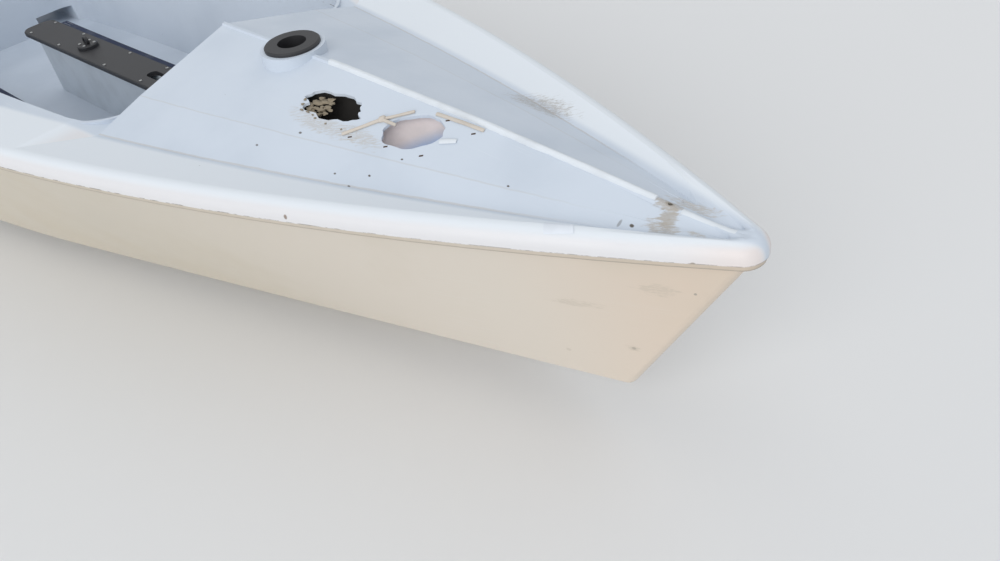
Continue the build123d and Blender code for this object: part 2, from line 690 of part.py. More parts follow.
def foil_profile(plane, half_width, tip_half_width, length):
    """Side view of a board or blade: a round head about its pivot and a rounded, tapered tip."""
    tip_round = TIP_ROUND_SHARE * tip_half_width
    with BuildSketch(plane) as profile:
        with BuildLine():
            ThreePointArc((0, half_width), (half_width, 0), (0, -half_width))
            Line((0, -half_width), (-length + tip_round, -tip_half_width))
            ThreePointArc((-length + tip_round, -tip_half_width), (-length, 0),
                          (-length + tip_round, tip_half_width))
            Line((-length + tip_round, tip_half_width), (0, half_width))
        make_face()
    return profile.sketch


def foil(x, height, half_width, tip_half_width, length, thickness, bevel, bolt_radius):
    """A board or blade, thinned towards its edges from both sides, with its pivot hole."""
    middle = Plane(origin=(x, 0, height), x_dir=(1, 0, 0), z_dir=(0, -1, 0))
    bevel_width, bevel_depth = bevel
    face_level = thickness / 2
    edge_level = face_level - bevel_depth
    levels = ((-face_level, bevel_width), (-edge_level, 0), (edge_level, 0),
              (face_level, bevel_width))
    with BuildPart() as blade:
        loft(sections=[foil_profile(middle.offset(level), half_width - inset,
                                    tip_half_width - inset, length - inset)
                       for level, inset in levels], ruled=True)
        with BuildSketch(middle.offset(-thickness)):
            Circle(bolt_radius + PIN_CLEARANCE)
        extrude(amount=2 * thickness, mode=Mode.SUBTRACT)
    return blade.part


centreboard = foil(BOARD_PIVOT_X, BOARD_PIVOT_HEIGHT, BOARD_HALF_WIDTH, BOARD_TIP_HALF_WIDTH,
                   BOARD_LENGTH, BOARD_THICKNESS, BOARD_BEVEL, PIN_RADIUS)
centreboard.label = "centreboard"
export_step(centreboard, "parts/centreboard.step")


def cross_pin(x, height, radius, half_width, head_radius, head_length):
    """A bolt across the boat with a hexagonal head or nut at each end."""
    with BuildPart() as pin:
        with BuildSketch(Plane(origin=(x, -half_width, height), x_dir=(1, 0, 0), z_dir=(0, 1, 0))):
            Circle(radius)
        extrude(amount=2 * half_width)
        for side in (-1, 1):
            with BuildSketch(Plane(origin=(x, side * half_width, height), x_dir=(1, 0, 0),
                                   z_dir=(0, side, 0))):
                RegularPolygon(head_radius, 6)
            extrude(amount=head_length)
    return pin.part


centreboard_pin = cross_pin(BOARD_PIVOT_X, BOARD_PIVOT_HEIGHT, PIN_RADIUS, CASE_WIDTH / 2,
                            PIN_HEAD_RADIUS, PIN_HEAD_LENGTH)
centreboard_pin.label = "centreboard_pin"
export_step(centreboard_pin, "parts/centreboard_pin.step")


def lug_profile(x_from, height, half_width):
    """A flat lug's plan, from a flat end to a rounded one about the rudder's axis."""
    side = 1 if x_from > RUDDER_AXIS_X else -1
    with BuildSketch(Plane(origin=(RUDDER_AXIS_X, 0, height))) as profile:
        with BuildLine():
            start = x_from - RUDDER_AXIS_X
            Polyline((0, -LUG_RADIUS), (start, -half_width), (start, half_width), (0, LUG_RADIUS))
            ThreePointArc((0, LUG_RADIUS), (-side * LUG_RADIUS, 0), (0, -LUG_RADIUS))
        make_face()
    return profile.sketch


# Gudgeons on the transom and pintles on the stock, one pair up and one pair down
STOCK_FRONT_X = RUDDER_AXIS_X - STOCK_FRONT_GAP
for place, gudgeon_height in (("upper", UPPER_GUDGEON_HEIGHT), ("lower", LOWER_GUDGEON_HEIGHT)):
    plate_top = gudgeon_height + GUDGEON_PLATE_HALF_HEIGHT
    plate_foot = gudgeon_height - GUDGEON_PLATE_HALF_HEIGHT
    with BuildPart() as gudgeon:
        with BuildSketch(Plane.XZ.offset(-GUDGEON_HALF_WIDTH)):
            with BuildLine():
                Polyline((transom_x(plate_foot), plate_foot), (transom_x(plate_top), plate_top),
                         (transom_x(plate_top) - GUDGEON_PLATE_THICKNESS, plate_top),
                         (transom_x(plate_foot) - GUDGEON_PLATE_THICKNESS, plate_foot),
                         close=True)
            make_face()
        extrude(amount=2 * GUDGEON_HALF_WIDTH)
        lug_foot = gudgeon_height - LUG_THICKNESS / 2
        lug_start = transom_x(lug_foot) - GUDGEON_PLATE_THICKNESS / 2
        extrude(lug_profile(lug_start, lug_foot, LUG_RADIUS + LUG_FLARE), amount=LUG_THICKNESS)
        with BuildSketch(Plane(origin=(RUDDER_AXIS_X, 0, lug_foot))):
            Circle(PINTLE_RADIUS + PIN_CLEARANCE)
        extrude(amount=LUG_THICKNESS, mode=Mode.SUBTRACT)
    gudgeon.part.label = "gudgeon_" + place
    export_step(gudgeon.part, "parts/gudgeon_" + place + ".step")

    with BuildPart() as pintle:
        eye_foot = gudgeon_height + LUG_THICKNESS / 2 + LUG_GAP
        extrude(lug_profile(STOCK_FRONT_X, eye_foot, LUG_RADIUS), amount=LUG_THICKNESS)
        with BuildSketch(Plane(origin=(RUDDER_AXIS_X, 0, eye_foot))):
            Circle(PINTLE_RADIUS)
        extrude(amount=-PINTLE_LENGTH)
    pintle.part.label = "pintle_" + place
    export_step(pintle.part, "parts/pintle_" + place + ".step")

# Rudder stock: two cheeks round the blade, a solid head with the tiller through it
with BuildPart() as rudder_stock:
    with BuildSketch(Plane.XZ.offset(-STOCK_THICKNESS / 2)):
        with BuildLine():
            Polyline((STOCK_FRONT_X, STOCK_BOTTOM), (STOCK_FRONT_X, STOCK_TOP),
                     (STOCK_FRONT_X - STOCK_LENGTH, STOCK_TOP),
                     (STOCK_FRONT_X - STOCK_LENGTH, BLADE_PIVOT_HEIGHT + STOCK_SHOULDER),
                     (BLADE_PIVOT_X, BLADE_PIVOT_HEIGHT + CHEEK_RADIUS))
            ThreePointArc((BLADE_PIVOT_X, BLADE_PIVOT_HEIGHT + CHEEK_RADIUS),
                          (BLADE_PIVOT_X - CHEEK_RADIUS, BLADE_PIVOT_HEIGHT),
                          (BLADE_PIVOT_X, BLADE_PIVOT_HEIGHT - CHEEK_RADIUS))
            Line((BLADE_PIVOT_X, BLADE_PIVOT_HEIGHT - CHEEK_RADIUS), (STOCK_FRONT_X, STOCK_BOTTOM))
        make_face()
    extrude(amount=STOCK_THICKNESS)
    fillet(rudder_stock.edges().filter_by(Axis.Y).group_by(Axis.Z)[-1], STOCK_HEAD_ROUND)
    slot_top = BLADE_PIVOT_HEIGHT + BLADE_HALF_WIDTH + BLADE_SIDE_GAP
    slot_front = STOCK_FRONT_X - STOCK_SPINE
    with BuildSketch(Plane.XZ.offset(-BLADE_THICKNESS / 2 - BLADE_SIDE_GAP)):
        with BuildLine():
            Polyline((slot_front, 0), (slot_front, slot_top), (slot_front - 2 * STOCK_LENGTH, slot_top),
                     (slot_front - 2 * STOCK_LENGTH, 0), close=True)
        make_face()
    extrude(amount=BLADE_THICKNESS + 2 * BLADE_SIDE_GAP, mode=Mode.SUBTRACT)
    with BuildSketch(Plane.XZ.offset(-STOCK_THICKNESS)):
        with Locations((BLADE_PIVOT_X, BLADE_PIVOT_HEIGHT)):
            Circle(BLADE_BOLT_RADIUS + PIN_CLEARANCE)
    extrude(amount=2 * STOCK_THICKNESS, mode=Mode.SUBTRACT)
    with BuildSketch(Plane.YZ.offset(STOCK_FRONT_X - 2 * STOCK_LENGTH)):
        with Locations((0, TILLER_HEIGHT)):
            Circle(TILLER_RADIUS + PIN_CLEARANCE)
    extrude(amount=4 * STOCK_LENGTH, mode=Mode.SUBTRACT)

rudder_stock.part.label = "rudder_stock"
export_step(rudder_stock.part, "parts/rudder_stock.step")

rudder_blade = foil(BLADE_PIVOT_X, BLADE_PIVOT_HEIGHT, BLADE_HALF_WIDTH, BLADE_TIP_HALF_WIDTH,
                    BLADE_LENGTH, BLADE_THICKNESS, BLADE_BEVEL, BLADE_BOLT_RADIUS)
rudder_blade.label = "rudder_blade"
export_step(rudder_blade, "parts/rudder_blade.step")

blade_bolt = cross_pin(BLADE_PIVOT_X, BLADE_PIVOT_HEIGHT, BLADE_BOLT_RADIUS, STOCK_THICKNESS / 2,
                       PIN_HEAD_RADIUS, PIN_HEAD_LENGTH)
blade_bolt.label = "blade_bolt"
export_step(blade_bolt, "parts/blade_bolt.step")

# Tiller through the stock's head, with a boss for the extension's swivel
TILLER_FRONT_X = RUDDER_AXIS_X + TILLER_LENGTH
SWIVEL_X = TILLER_FRONT_X - SWIVEL_SETBACK
SWIVEL_FOOT = TILLER_HEIGHT + TILLER_RADIUS + SWIVEL_BOSS_HEIGHT

with BuildPart() as tiller:
    tiller_stern_x = STOCK_FRONT_X - STOCK_LENGTH - TILLER_TAIL
    with BuildSketch(Plane.YZ.offset(tiller_stern_x)):
        with Locations((0, TILLER_HEIGHT)):
            Circle(TILLER_RADIUS)
    extrude(amount=TILLER_FRONT_X - tiller_stern_x)
    chamfer(tiller.edges().filter_by(GeomType.CIRCLE), EDGE_BREAK)
    with BuildSketch(Plane(origin=(SWIVEL_X, 0, TILLER_HEIGHT))):
        Circle(SWIVEL_RADIUS)
    extrude(amount=TILLER_RADIUS + SWIVEL_BOSS_HEIGHT)
    with BuildSketch(Plane(origin=(SWIVEL_X, 0, SWIVEL_FOOT))):
        Circle(SWIVEL_PIN_RADIUS + PIN_CLEARANCE)
    extrude(amount=-SWIVEL_SPIGOT_LENGTH - PIN_END_GAP, mode=Mode.SUBTRACT)

tiller.part.label = "tiller"
export_step(tiller.part, "parts/tiller.step")

# Swivel: a disc on the boss with two ears, and the extension hinged between them
SWIVEL_PIN_Z = SWIVEL_FOOT + SWIVEL_PIN_HEIGHT
EYE_HALF_WIDTH = EXTENSION_RADIUS * SWIVEL_EYE_SHARE
EAR_INNER = EYE_HALF_WIDTH + SWIVEL_EAR_GAP

with BuildPart() as swivel:
    with BuildSketch(Plane(origin=(SWIVEL_X, 0, SWIVEL_FOOT + SWIVEL_FLOAT))):
        Circle(SWIVEL_RADIUS)
    extrude(amount=SWIVEL_DISC_HEIGHT)
    with BuildSketch(Plane(origin=(SWIVEL_X, 0, SWIVEL_FOOT + SWIVEL_FLOAT))):
        Circle(SWIVEL_PIN_RADIUS)
    extrude(amount=-SWIVEL_SPIGOT_LENGTH - SWIVEL_FLOAT)
    for side in (-1, 1):
        with BuildSketch(Plane(origin=(SWIVEL_X, side * EAR_INNER, SWIVEL_FOOT), x_dir=(1, 0, 0),
                               z_dir=(0, side, 0))) as ear:
            with BuildLine():
                reach = SWIVEL_PIN_HEIGHT
                flip = -side
                Polyline((-SWIVEL_EAR_HALF, flip * reach), (-SWIVEL_EAR_HALF, flip * SWIVEL_FLOAT),
                         (SWIVEL_EAR_HALF, flip * SWIVEL_FLOAT), (SWIVEL_EAR_HALF, flip * reach))
                ThreePointArc((SWIVEL_EAR_HALF, flip * reach), (0, flip * (reach + SWIVEL_EAR_HALF)),
                              (-SWIVEL_EAR_HALF, flip * reach))
            make_face()
        extrude(amount=SWIVEL_EAR_THICKNESS)
    with BuildSketch(Plane.XZ.offset(-EAR_INNER - SWIVEL_EAR_THICKNESS)):
        with Locations((SWIVEL_X, SWIVEL_PIN_Z)):
            Circle(SWIVEL_PIN_RADIUS)
    extrude(amount=2 * (EAR_INNER + SWIVEL_EAR_THICKNESS))

swivel.part.label = "swivel"
export_step(swivel.part, "parts/swivel.step")

with BuildPart() as tiller_extension:
    with BuildSketch(Plane.YZ.offset(SWIVEL_X - EXTENSION_NECK)):
        with Locations((0, SWIVEL_PIN_Z)):
            Circle(EXTENSION_RADIUS)
    extrude(amount=-EXTENSION_LENGTH)
    chamfer(tiller_extension.edges().filter_by(GeomType.CIRCLE), EDGE_BREAK)
    with BuildSketch(Plane.XZ.offset(-EYE_HALF_WIDTH)):
        with BuildLine():
            Polyline((SWIVEL_X, SWIVEL_PIN_Z - EXTENSION_EYE), (SWIVEL_X - 2 * EXTENSION_NECK,
                     SWIVEL_PIN_Z - EXTENSION_EYE), (SWIVEL_X - 2 * EXTENSION_NECK,
                     SWIVEL_PIN_Z + EXTENSION_EYE), (SWIVEL_X, SWIVEL_PIN_Z + EXTENSION_EYE))
            ThreePointArc((SWIVEL_X, SWIVEL_PIN_Z + EXTENSION_EYE), (SWIVEL_X + EXTENSION_EYE,
                          SWIVEL_PIN_Z), (SWIVEL_X, SWIVEL_PIN_Z - EXTENSION_EYE))
        make_face()
    extrude(amount=2 * EYE_HALF_WIDTH)
    with BuildSketch(Plane.XZ.offset(-EXTENSION_RADIUS)):
        with Locations((SWIVEL_X, SWIVEL_PIN_Z)):
            Circle(SWIVEL_PIN_RADIUS + PIN_CLEARANCE)
    extrude(amount=2 * EXTENSION_RADIUS, mode=Mode.SUBTRACT)

tiller_extension.part.label = "tiller_extension"
export_step(tiller_extension.part, "parts/tiller_extension.step")

# Toe straps on four posts in the cockpit
STRAP_FRONT_X = BOW_X - STRAP_START_STATION
STRAP_FOOT = FLOOR_HEIGHT + STRAP_RISE
for name, side in (("port", 1), ("starboard", -1)):
    with BuildPart() as toe_strap:
        with BuildSketch(Plane(origin=(STRAP_FRONT_X - STRAP_LENGTH / 2, side * STRAP_OFFSET,
                                       STRAP_FOOT))):
            Rectangle(STRAP_LENGTH, STRAP_WIDTH)
        extrude(amount=STRAP_THICKNESS)
    toe_strap.part.label = "toe_strap_" + name
    export_step(toe_strap.part, "parts/toe_strap_" + name + ".step")

with BuildPart() as strap_posts:
    inset_x = ANCHOR_LENGTH / 2
    ends = (STRAP_FRONT_X - inset_x, STRAP_FRONT_X - STRAP_LENGTH + inset_x)
    with BuildSketch(Plane(origin=(0, 0, FLOOR_HEIGHT))):
        with Locations(*[(x, side * STRAP_OFFSET) for x in ends for side in (-1, 1)]):
            Rectangle(ANCHOR_LENGTH, STRAP_WIDTH)
    extrude(amount=STRAP_RISE, taper=POST_DRAFT)

strap_posts.part.label = "strap_posts"
export_step(strap_posts.part, "parts/strap_posts.step")

# Mainsheet base on the case capping
SHEET_BASE_FOOT = CASE_TOP + CASE_CAP_HEIGHT
with BuildPart() as sheet_base:
    sheet_x = BOW_X - SHEET_BASE_STATION
    with BuildSketch(Plane(origin=(sheet_x, 0, SHEET_BASE_FOOT))):
        Circle(SHEET_BASE_RADIUS)
    extrude(amount=SHEET_BASE_HEIGHT)
    chamfer(sheet_base.faces().sort_by(Axis.Z)[-1].edges(), EDGE_BREAK)
    with BuildSketch(Plane.XZ.offset(-SHEET_EYE_WIDTH / 2)):
        with Locations((sheet_x, SHEET_BASE_FOOT + SHEET_BASE_HEIGHT + SHEET_EYE_BORE)):
            Circle(SHEET_EYE_RADIUS)
            Circle(SHEET_EYE_BORE, mode=Mode.SUBTRACT)
    extrude(amount=SHEET_EYE_WIDTH)

sheet_base.part.label = "sheet_base"
export_step(sheet_base.part, "parts/sheet_base.step")
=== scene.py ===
"""Looks of a moulded sailing dinghy that has lain outdoors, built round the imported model."""
import json
from math import radians, tan, tau

import bpy
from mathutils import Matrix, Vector
from mathutils.noise import noise as noise_value

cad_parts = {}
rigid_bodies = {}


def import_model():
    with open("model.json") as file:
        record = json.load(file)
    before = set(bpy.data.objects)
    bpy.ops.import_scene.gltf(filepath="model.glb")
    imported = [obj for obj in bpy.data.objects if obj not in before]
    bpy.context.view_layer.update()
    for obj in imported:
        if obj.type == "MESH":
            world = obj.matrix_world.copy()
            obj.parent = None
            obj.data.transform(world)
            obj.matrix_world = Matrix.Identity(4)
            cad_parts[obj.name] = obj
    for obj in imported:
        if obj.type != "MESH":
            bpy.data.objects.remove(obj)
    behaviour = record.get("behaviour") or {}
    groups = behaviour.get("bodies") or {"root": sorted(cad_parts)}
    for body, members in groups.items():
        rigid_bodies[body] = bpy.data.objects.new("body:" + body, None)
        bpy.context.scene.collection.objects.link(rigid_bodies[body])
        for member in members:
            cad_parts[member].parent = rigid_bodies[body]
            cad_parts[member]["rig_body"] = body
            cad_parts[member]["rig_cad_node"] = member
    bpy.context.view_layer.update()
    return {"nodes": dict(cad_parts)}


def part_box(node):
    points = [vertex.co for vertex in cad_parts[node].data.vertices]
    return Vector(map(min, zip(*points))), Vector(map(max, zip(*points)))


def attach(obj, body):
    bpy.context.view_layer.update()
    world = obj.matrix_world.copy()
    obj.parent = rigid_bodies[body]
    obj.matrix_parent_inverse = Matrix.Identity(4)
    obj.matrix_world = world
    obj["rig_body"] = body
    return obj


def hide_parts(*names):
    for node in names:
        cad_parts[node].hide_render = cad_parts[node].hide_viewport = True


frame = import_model()
NODES = frame["nodes"]

# Camera, in the model's frame
CAMERA_PLACE = (2.6631, -0.9377, 1.3680)
CAMERA_TURN = (50.155, 7.366, 41.768)
CAMERA_LENS = 30.6
CAMERA_SENSOR = 36

# Floor, in metres, and the sky that lights and the one that is shown
FLOOR_SIZE = 120
FLOOR_GAP = 0.0005
FLOOR_PALE = (0.80, 0.80, 0.80)
SKY_LIGHT = (0.93, 0.96, 1.0)
SKY_STRENGTH = 0.5
SKY_SHOWN = (0.66, 0.67, 0.68)
# Lamps: name, place, strength, spread in degrees, colour
LAMPS = (
    ("key", (2.0, -5.6, 3.1), 1.6, 55, (1, 1, 1)),
    ("top", (-0.5, 2.0, 5.7), 0.6, 80, (0.93, 0.97, 1.0)),
)

# Lines on the boat that the finishes follow, in metres; stations run aft from the stem head
BOW_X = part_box("deck")[1].x
BOW_HEIGHT = 0.570
RIM_FALL = tan(radians(0.7))
LIP_DROP = 0.0346
FLANGE_FOOT_DROP = 0.0456
DECK_EDGE_RADIUS = 10.339
DECK_EDGE_CREST_STATION = 3.381
DECK_EDGE_CREST_BREADTH = 0.5665
KNUCKLE_SHARE = 0.68
BULKHEAD_X = BOW_X - 1.4
WELL_LEVEL = 0.164
GRIP_END_X = -1.12

# Roof panel round the tears: a point on it, its upward normal and the wall's thickness
PANEL_POINT = Vector((1.488, -0.1052, 0.5838))
PANEL_NORMAL = Vector((0.0568, -0.2844, 0.9570))
ROOF_WALL = 0.008
# The foredeck and the gunwale lie above this level
ROOF_LEVEL = 0.5
# Height of the deck at the screw hole, and of the plugs that cut the tears
SPINE_FOOT_HEIGHT = 0.572
PLUG_HEIGHT = 0.06

# Where the folds run out inside the nose's crest: a wedge from x on, narrowing to its end
SOFT_NOSE_X = 2.085
SOFT_NOSE_END = 2.202
SOFT_NOSE_SPREAD = 0.62
SOFT_NOSE_LEVEL = 0.53
SOFT_NOSE_PASSES = 60
# New corners ahead of here are shaded smoothly
SMOOTH_SHADING_X = SOFT_NOSE_X - 0.005

# Streaks in the stains lie along the near gunwale at the bow, at this turn from the keel line
STREAK_TURN = -27
STREAK_STRETCH = (0.3, 1.4, 1.0)
# How far a whole stain's edge wanders, and a broken one's
WHOLE_EDGE = 0.6
BROKEN_EDGE = 2.2

# Colours, linear
# Deck white whose bluish tint is painted cool sky light
DECK_SKY_TINTED_WHITE = (0.62, 0.68, 0.76)
DECK_GREY = (0.54, 0.60, 0.68)
# Painted light on the outward-facing rolled edge
PAINTED_LIT_RIM_WHITE = (0.74, 0.735, 0.75)
# Painted warm light on the nose's outward-facing roll
PAINTED_WARM_NOSE_WHITE = (0.77, 0.71, 0.69)
# White of bare scratches, also used as painted light on the gunwale
SCRATCH_AND_LIT_WHITE = (0.80, 0.84, 0.88)
# Painted warm light bounced from the ground: the hull's cream, warmer at the stem
HULL_WARM_LIT_CREAM = (0.69, 0.63, 0.55)
STEM_WARM_LIT_CREAM = (0.69, 0.57, 0.46)
AFT_CREAM = (0.61, 0.56, 0.47)
GRUBBY_CREAM = (0.62, 0.56, 0.46)
# Dry dirt, also used for the painted shadow line under the hull's flange
DRY_DIRT_AND_SHADOW = (0.34, 0.30, 0.25)
DARK_DIRT = (0.10, 0.085, 0.07)
LIP_DIRT = (0.16, 0.12, 0.09)
RUST_DIRT = (0.20, 0.13, 0.08)
TAN_STAIN = (0.47, 0.41, 0.33)
PATCH_TAN = (0.42, 0.38, 0.33)
# Painted light and painted shade inside the hatch hole
CORE_PAINTED_LIGHT = (0.74, 0.66, 0.64)
CORE_PAINTED_SHADE = (0.34, 0.47, 0.70)
CORE_DUST = (0.5, 0.47, 0.45)
YARN_DARK = (0.012, 0.018, 0.045)
YARN_BLUE = (0.045, 0.06, 0.12)
YARN_FADED = (0.12, 0.13, 0.16)
TUBE_BRIGHT = (0.62, 0.63, 0.65)
TUBE_DULL = (0.48, 0.48, 0.48)
GRIP_BLACK = (0.025, 0.025, 0.027)

# Plain finishes: name, colour, roughness, metallic, depth of grain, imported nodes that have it
PLAIN_FINISHES = (
    ("stainless_steel", (0.55, 0.55, 0.54), 0.3, 1.0, 0.05,
     ("centreboard_pin", "gudgeon_upper", "gudgeon_lower", "pintle_upper", "pintle_lower",
      "blade_bolt")),
    ("anodised_alloy", (0.66, 0.67, 0.68), 0.35, 1.0, 0.05, ("rudder_stock", "tiller")),
    ("black_plastic", (0.025, 0.025, 0.028), 0.5, 0.0, 0.05,
     ("mast_tube", "case_cap", "strap_posts", "sheet_base")),
    ("case_gelcoat", (0.62, 0.67, 0.72), 0.45, 0.0, 0.05, ("centreboard_case",)),
    ("foil_gelcoat", (0.72, 0.73, 0.72), 0.3, 0.0, 0.05, ("centreboard", "rudder_blade")),
    ("swivel_rubber", (0.02, 0.02, 0.02), 0.6, 0.0, 0.05, ("swivel",)),
    ("white_plastic", (0.74, 0.78, 0.82), 0.5, 0.0, 0.05, ()),
    ("cream_rod", (0.62, 0.56, 0.49), 0.6, 0.0, 0.05, ()),
    ("dry_earth", (0.30, 0.25, 0.18), 0.95, 0.0, 0.6, ()),
    ("sticker_paper", (0.80, 0.84, 0.90), 0.6, 0.0, 0.05, ()),
    # Dark brown for the screw slots
    ("dark_slot", (0.07, 0.04, 0.025), 0.9, 0.0, 0.05, ()),
    ("thread", (0.42, 0.44, 0.46), 0.9, 0.0, 0.05, ()),
    # Near black painted shade for the hollow under the ragged hole
    ("shade_painted_hollow", (0.02, 0.018, 0.016), 0.9, 0.0, 0.05, ()),
)

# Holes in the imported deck: place in plan and reach
PACKED_HOLES = (
    (1.565, -0.098, 0.080),
    (1.315, -0.165, 0.095),
    (2.024, 0.000, 0.012),
)
# Tears as they are: place in plan, half length, half width, turn in degrees, raggedness
TEARS = {
    "hatch_hole": (1.5353, -0.0710, 0.0655, 0.0400, 25, 0.09),
    "ragged_hole": (1.3250, -0.0900, 0.0760, 0.0330, 8, 0.28),
    "screw_hole": (2.0508, 0.0010, 0.0040, 0.0040, 0, 0.0),
}
# Half length, half width and depth of the hollows under two tears, their wall, the gap above
CORE_HOLLOW_REACH = (0.079, 0.053, 0.040)
DARK_HOLLOW_REACH = (0.090, 0.046, 0.050)
HOLLOW_WALL = 0.002
HOLLOW_GAP = 0.0002
# Stains on the deck: place, reach, strength, share of gaps, colour
DECK_STAINS = (
    ((2.050, 0.001, 0.572), (0.031, 0.015, 0.03), 0.85, 0.25, PATCH_TAN),
    ((2.062, -0.020, 0.563), (0.017, 0.026, 0.03), 0.80, 0.25, PATCH_TAN),
    ((2.064, -0.042, 0.560), (0.033, 0.020, 0.03), 0.75, 0.55, PATCH_TAN),
    ((2.050, 0.001, 0.572), (0.010, 0.006, 0.03), 0.90, 0.0, DRY_DIRT_AND_SHADOW),
    ((2.075, 0.030, 0.560), (0.050, 0.016, 0.03), 0.60, 0.85, TAN_STAIN),
    ((2.017, -0.057, 0.553), (0.0042, 0.0032, 0.02), 1.0, 0.0, DARK_DIRT),
    ((1.997, -0.062, 0.553), (0.0030, 0.0080, 0.02), 0.5, 0.0, DARK_DIRT),
    ((2.120, -0.030, 0.560), (0.018, 0.008, 0.03), 0.60, 0.85, TAN_STAIN),
    ((1.630, 0.180, 0.545), (0.090, 0.035, 0.03), 0.60, 0.85, DRY_DIRT_AND_SHADOW),
    ((1.440, -0.125, 0.580), (0.060, 0.020, 0.03), 0.45, 0.85, TAN_STAIN),
    ((1.330, -0.135, 0.580), (0.100, 0.022, 0.03), 0.45, 0.85, TAN_STAIN),
    ((1.785, -0.089, 0.566), (0.0032, 0.0022, 0.02), 1.0, 0.0, DARK_DIRT),
    ((1.454, -0.210, 0.550), (0.0032, 0.0022, 0.02), 0.9, 0.0, DARK_DIRT),
    ((1.525, -0.184, 0.554), (0.0036, 0.0024, 0.02), 1.0, 0.0, DARK_DIRT),
    ((1.308, -0.171, 0.575), (0.0046, 0.0030, 0.02), 0.9, 0.0, DARK_DIRT),
    ((1.502, -0.218, 0.543), (0.0044, 0.0022, 0.02), 0.8, 0.0, DARK_DIRT),
    ((1.561, -0.130, 0.572), (0.0032, 0.0022, 0.02), 1.0, 0.0, DARK_DIRT),
    ((1.238, -0.233, 0.559), (0.0040, 0.0026, 0.02), 0.8, 0.0, DARK_DIRT),
    ((1.469, -0.343, 0.538), (0.0040, 0.0040, 0.006), 0.8, 0.0, RUST_DIRT),
    ((2.135, -0.068, 0.535), (0.0050, 0.0050, 0.003), 0.9, 0.0, DRY_DIRT_AND_SHADOW),
)
# Stains on the hull: place, reach, strength, share of gaps, colour
HULL_STAINS = (
    ((2.120, -0.033, 0.441), (0.003, 0.003, 0.004), 0.80, 0.0, DRY_DIRT_AND_SHADOW),
    ((1.995, -0.034, 0.249), (0.005, 0.005, 0.005), 0.80, 0.0, DRY_DIRT_AND_SHADOW),
    ((1.995, -0.034, 0.249), (0.014, 0.014, 0.010), 0.45, 0.85, TAN_STAIN),
    ((1.861, -0.064, 0.196), (0.006, 0.006, 0.006), 0.35, 0.0, TAN_STAIN),
    ((2.063, -0.058, 0.441), (0.050, 0.024, 0.016), 0.35, 0.85, TAN_STAIN),
    ((1.920, -0.095, 0.369), (0.060, 0.028, 0.012), 0.35, 0.85, TAN_STAIN),
)

# Strips on the deck: piece, start, end, width, height, cuts, lift, tip share
STRIPS = (
    ("spine_bead", (1.215, 0.0005), (2.026, 0.0010), 0.0135, 0.0080, 60, 0.0, 1.0),
    ("nose_bead", (2.074, 0.0), (2.168, 0.0), 0.0150, 0.0040, 14, -0.0008, 0.7),
    ("loose_rod", (1.4015, -0.1390), (1.4545, -0.0756), 0.0058, 0.0058, 10, 0.0028, 1.15),
    ("loose_rod", (1.4500, -0.0790), (1.5050, -0.0330), 0.0060, 0.0055, 8, 0.0026, 0.95),
    ("loose_rod", (1.4560, -0.0762), (1.4931, -0.0754), 0.0062, 0.0062, 6, 0.0030, 1.0),
    ("square_rod", (1.5500, -0.0195), (1.6662, -0.0135), 0.0075, 0.0045, 10, 0.0020, 1.0),
    ("splinter", (1.6030, -0.0695), (1.6340, -0.0550), 0.0115, 0.0050, 6, 0.0022, 0.85),
)
STRIP_FINISHES = {"spine_bead": "white_plastic", "nose_bead": "white_plastic",
                  "loose_rod": "cream_rod", "square_rod": "cream_rod",
                  "splinter": "white_plastic"}
# The lump where the loose rods meet: place, half sizes, turn in degrees
KNOT_PLACE = (1.4545, -0.0756, 0.0035)
KNOT_REACH = (0.0085, 0.0065, 0.0055)
KNOT_TURN = 50
# Slots round the hatch hole: places in plan, half length along its heading, width, height
SLOTS = ((1.5083, -0.1218), (1.5908, -0.1082), (1.6506, -0.0266), (1.5819, -0.0222),
         (1.4201, -0.1347))
SLOT_HALF = Vector((0.847, 0.532)) * 0.0042
SLOT_WIDTH = 0.0038
SLOT_HEIGHT = 0.0012
# Corners of the blank sticker, in plan, in turn round it, then its lift, curl and thickness
STICKER = ((1.9000, -0.1330), (1.9395, -0.1060), (1.9610, -0.1330), (1.9180, -0.1560))
STICKER_LIFT = 0.0004
STICKER_CURL = 0.0008
STICKER_CURL_START = 0.9
STICKER_THICKNESS = 0.0003
# Crumbs of dry earth in and round the ragged hole: place in plan, size
CRUMBS = (
    (1.256, -0.098, 0.006), (1.264, -0.106, 0.008), (1.277, -0.112, 0.006), (1.270, -0.088, 0.009),
    (1.288, -0.100, 0.007), (1.295, -0.112, 0.006), (1.283, -0.080, 0.008), (1.252, -0.114, 0.003),
    (1.262, -0.126, 0.003), (1.310, -0.130, 0.002), (1.388, -0.128, 0.002), (1.299, -0.090, 0.007),
    (1.274, -0.100, 0.005), (1.305, -0.104, 0.005), (1.291, -0.070, 0.006), (1.268, -0.076, 0.005),
    (1.281, -0.124, 0.003), (1.298, -0.126, 0.002), (1.344, -0.131, 0.002), (1.247, -0.102, 0.003),
    (1.312, -0.092, 0.004), (1.300, -0.078, 0.005), (1.286, -0.092, 0.004), (1.259, -0.088, 0.005),
)
CRUMB_FLATNESS = 0.45
CRUMB_STRETCH = 1.4
# Larger crumbs than this lie that far down in the hole, and the others that high on the deck
CRUMB_SUNK_SIZE = 0.0035
CRUMB_SUNK = 0.012
CRUMB_LIFT = 0.0008

# Toe straps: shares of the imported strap's thickness and half length, cuts and sag
STRAP_THICKNESS = 0.75
STRAP_THIN_EDGE = 0.45
STRAP_WAIST = 0.03
STRAP_SAG = 0.004
STRAP_SAG_END = 0.93
STRAP_SEWN_FROM = 0.90
STRAP_SEWN_RISE = 0.0004
STRAP_CUTS = 60
STRAP_LENGTHWISE_CUTS = (-0.42, -0.2, 0.0, 0.2, 0.42)
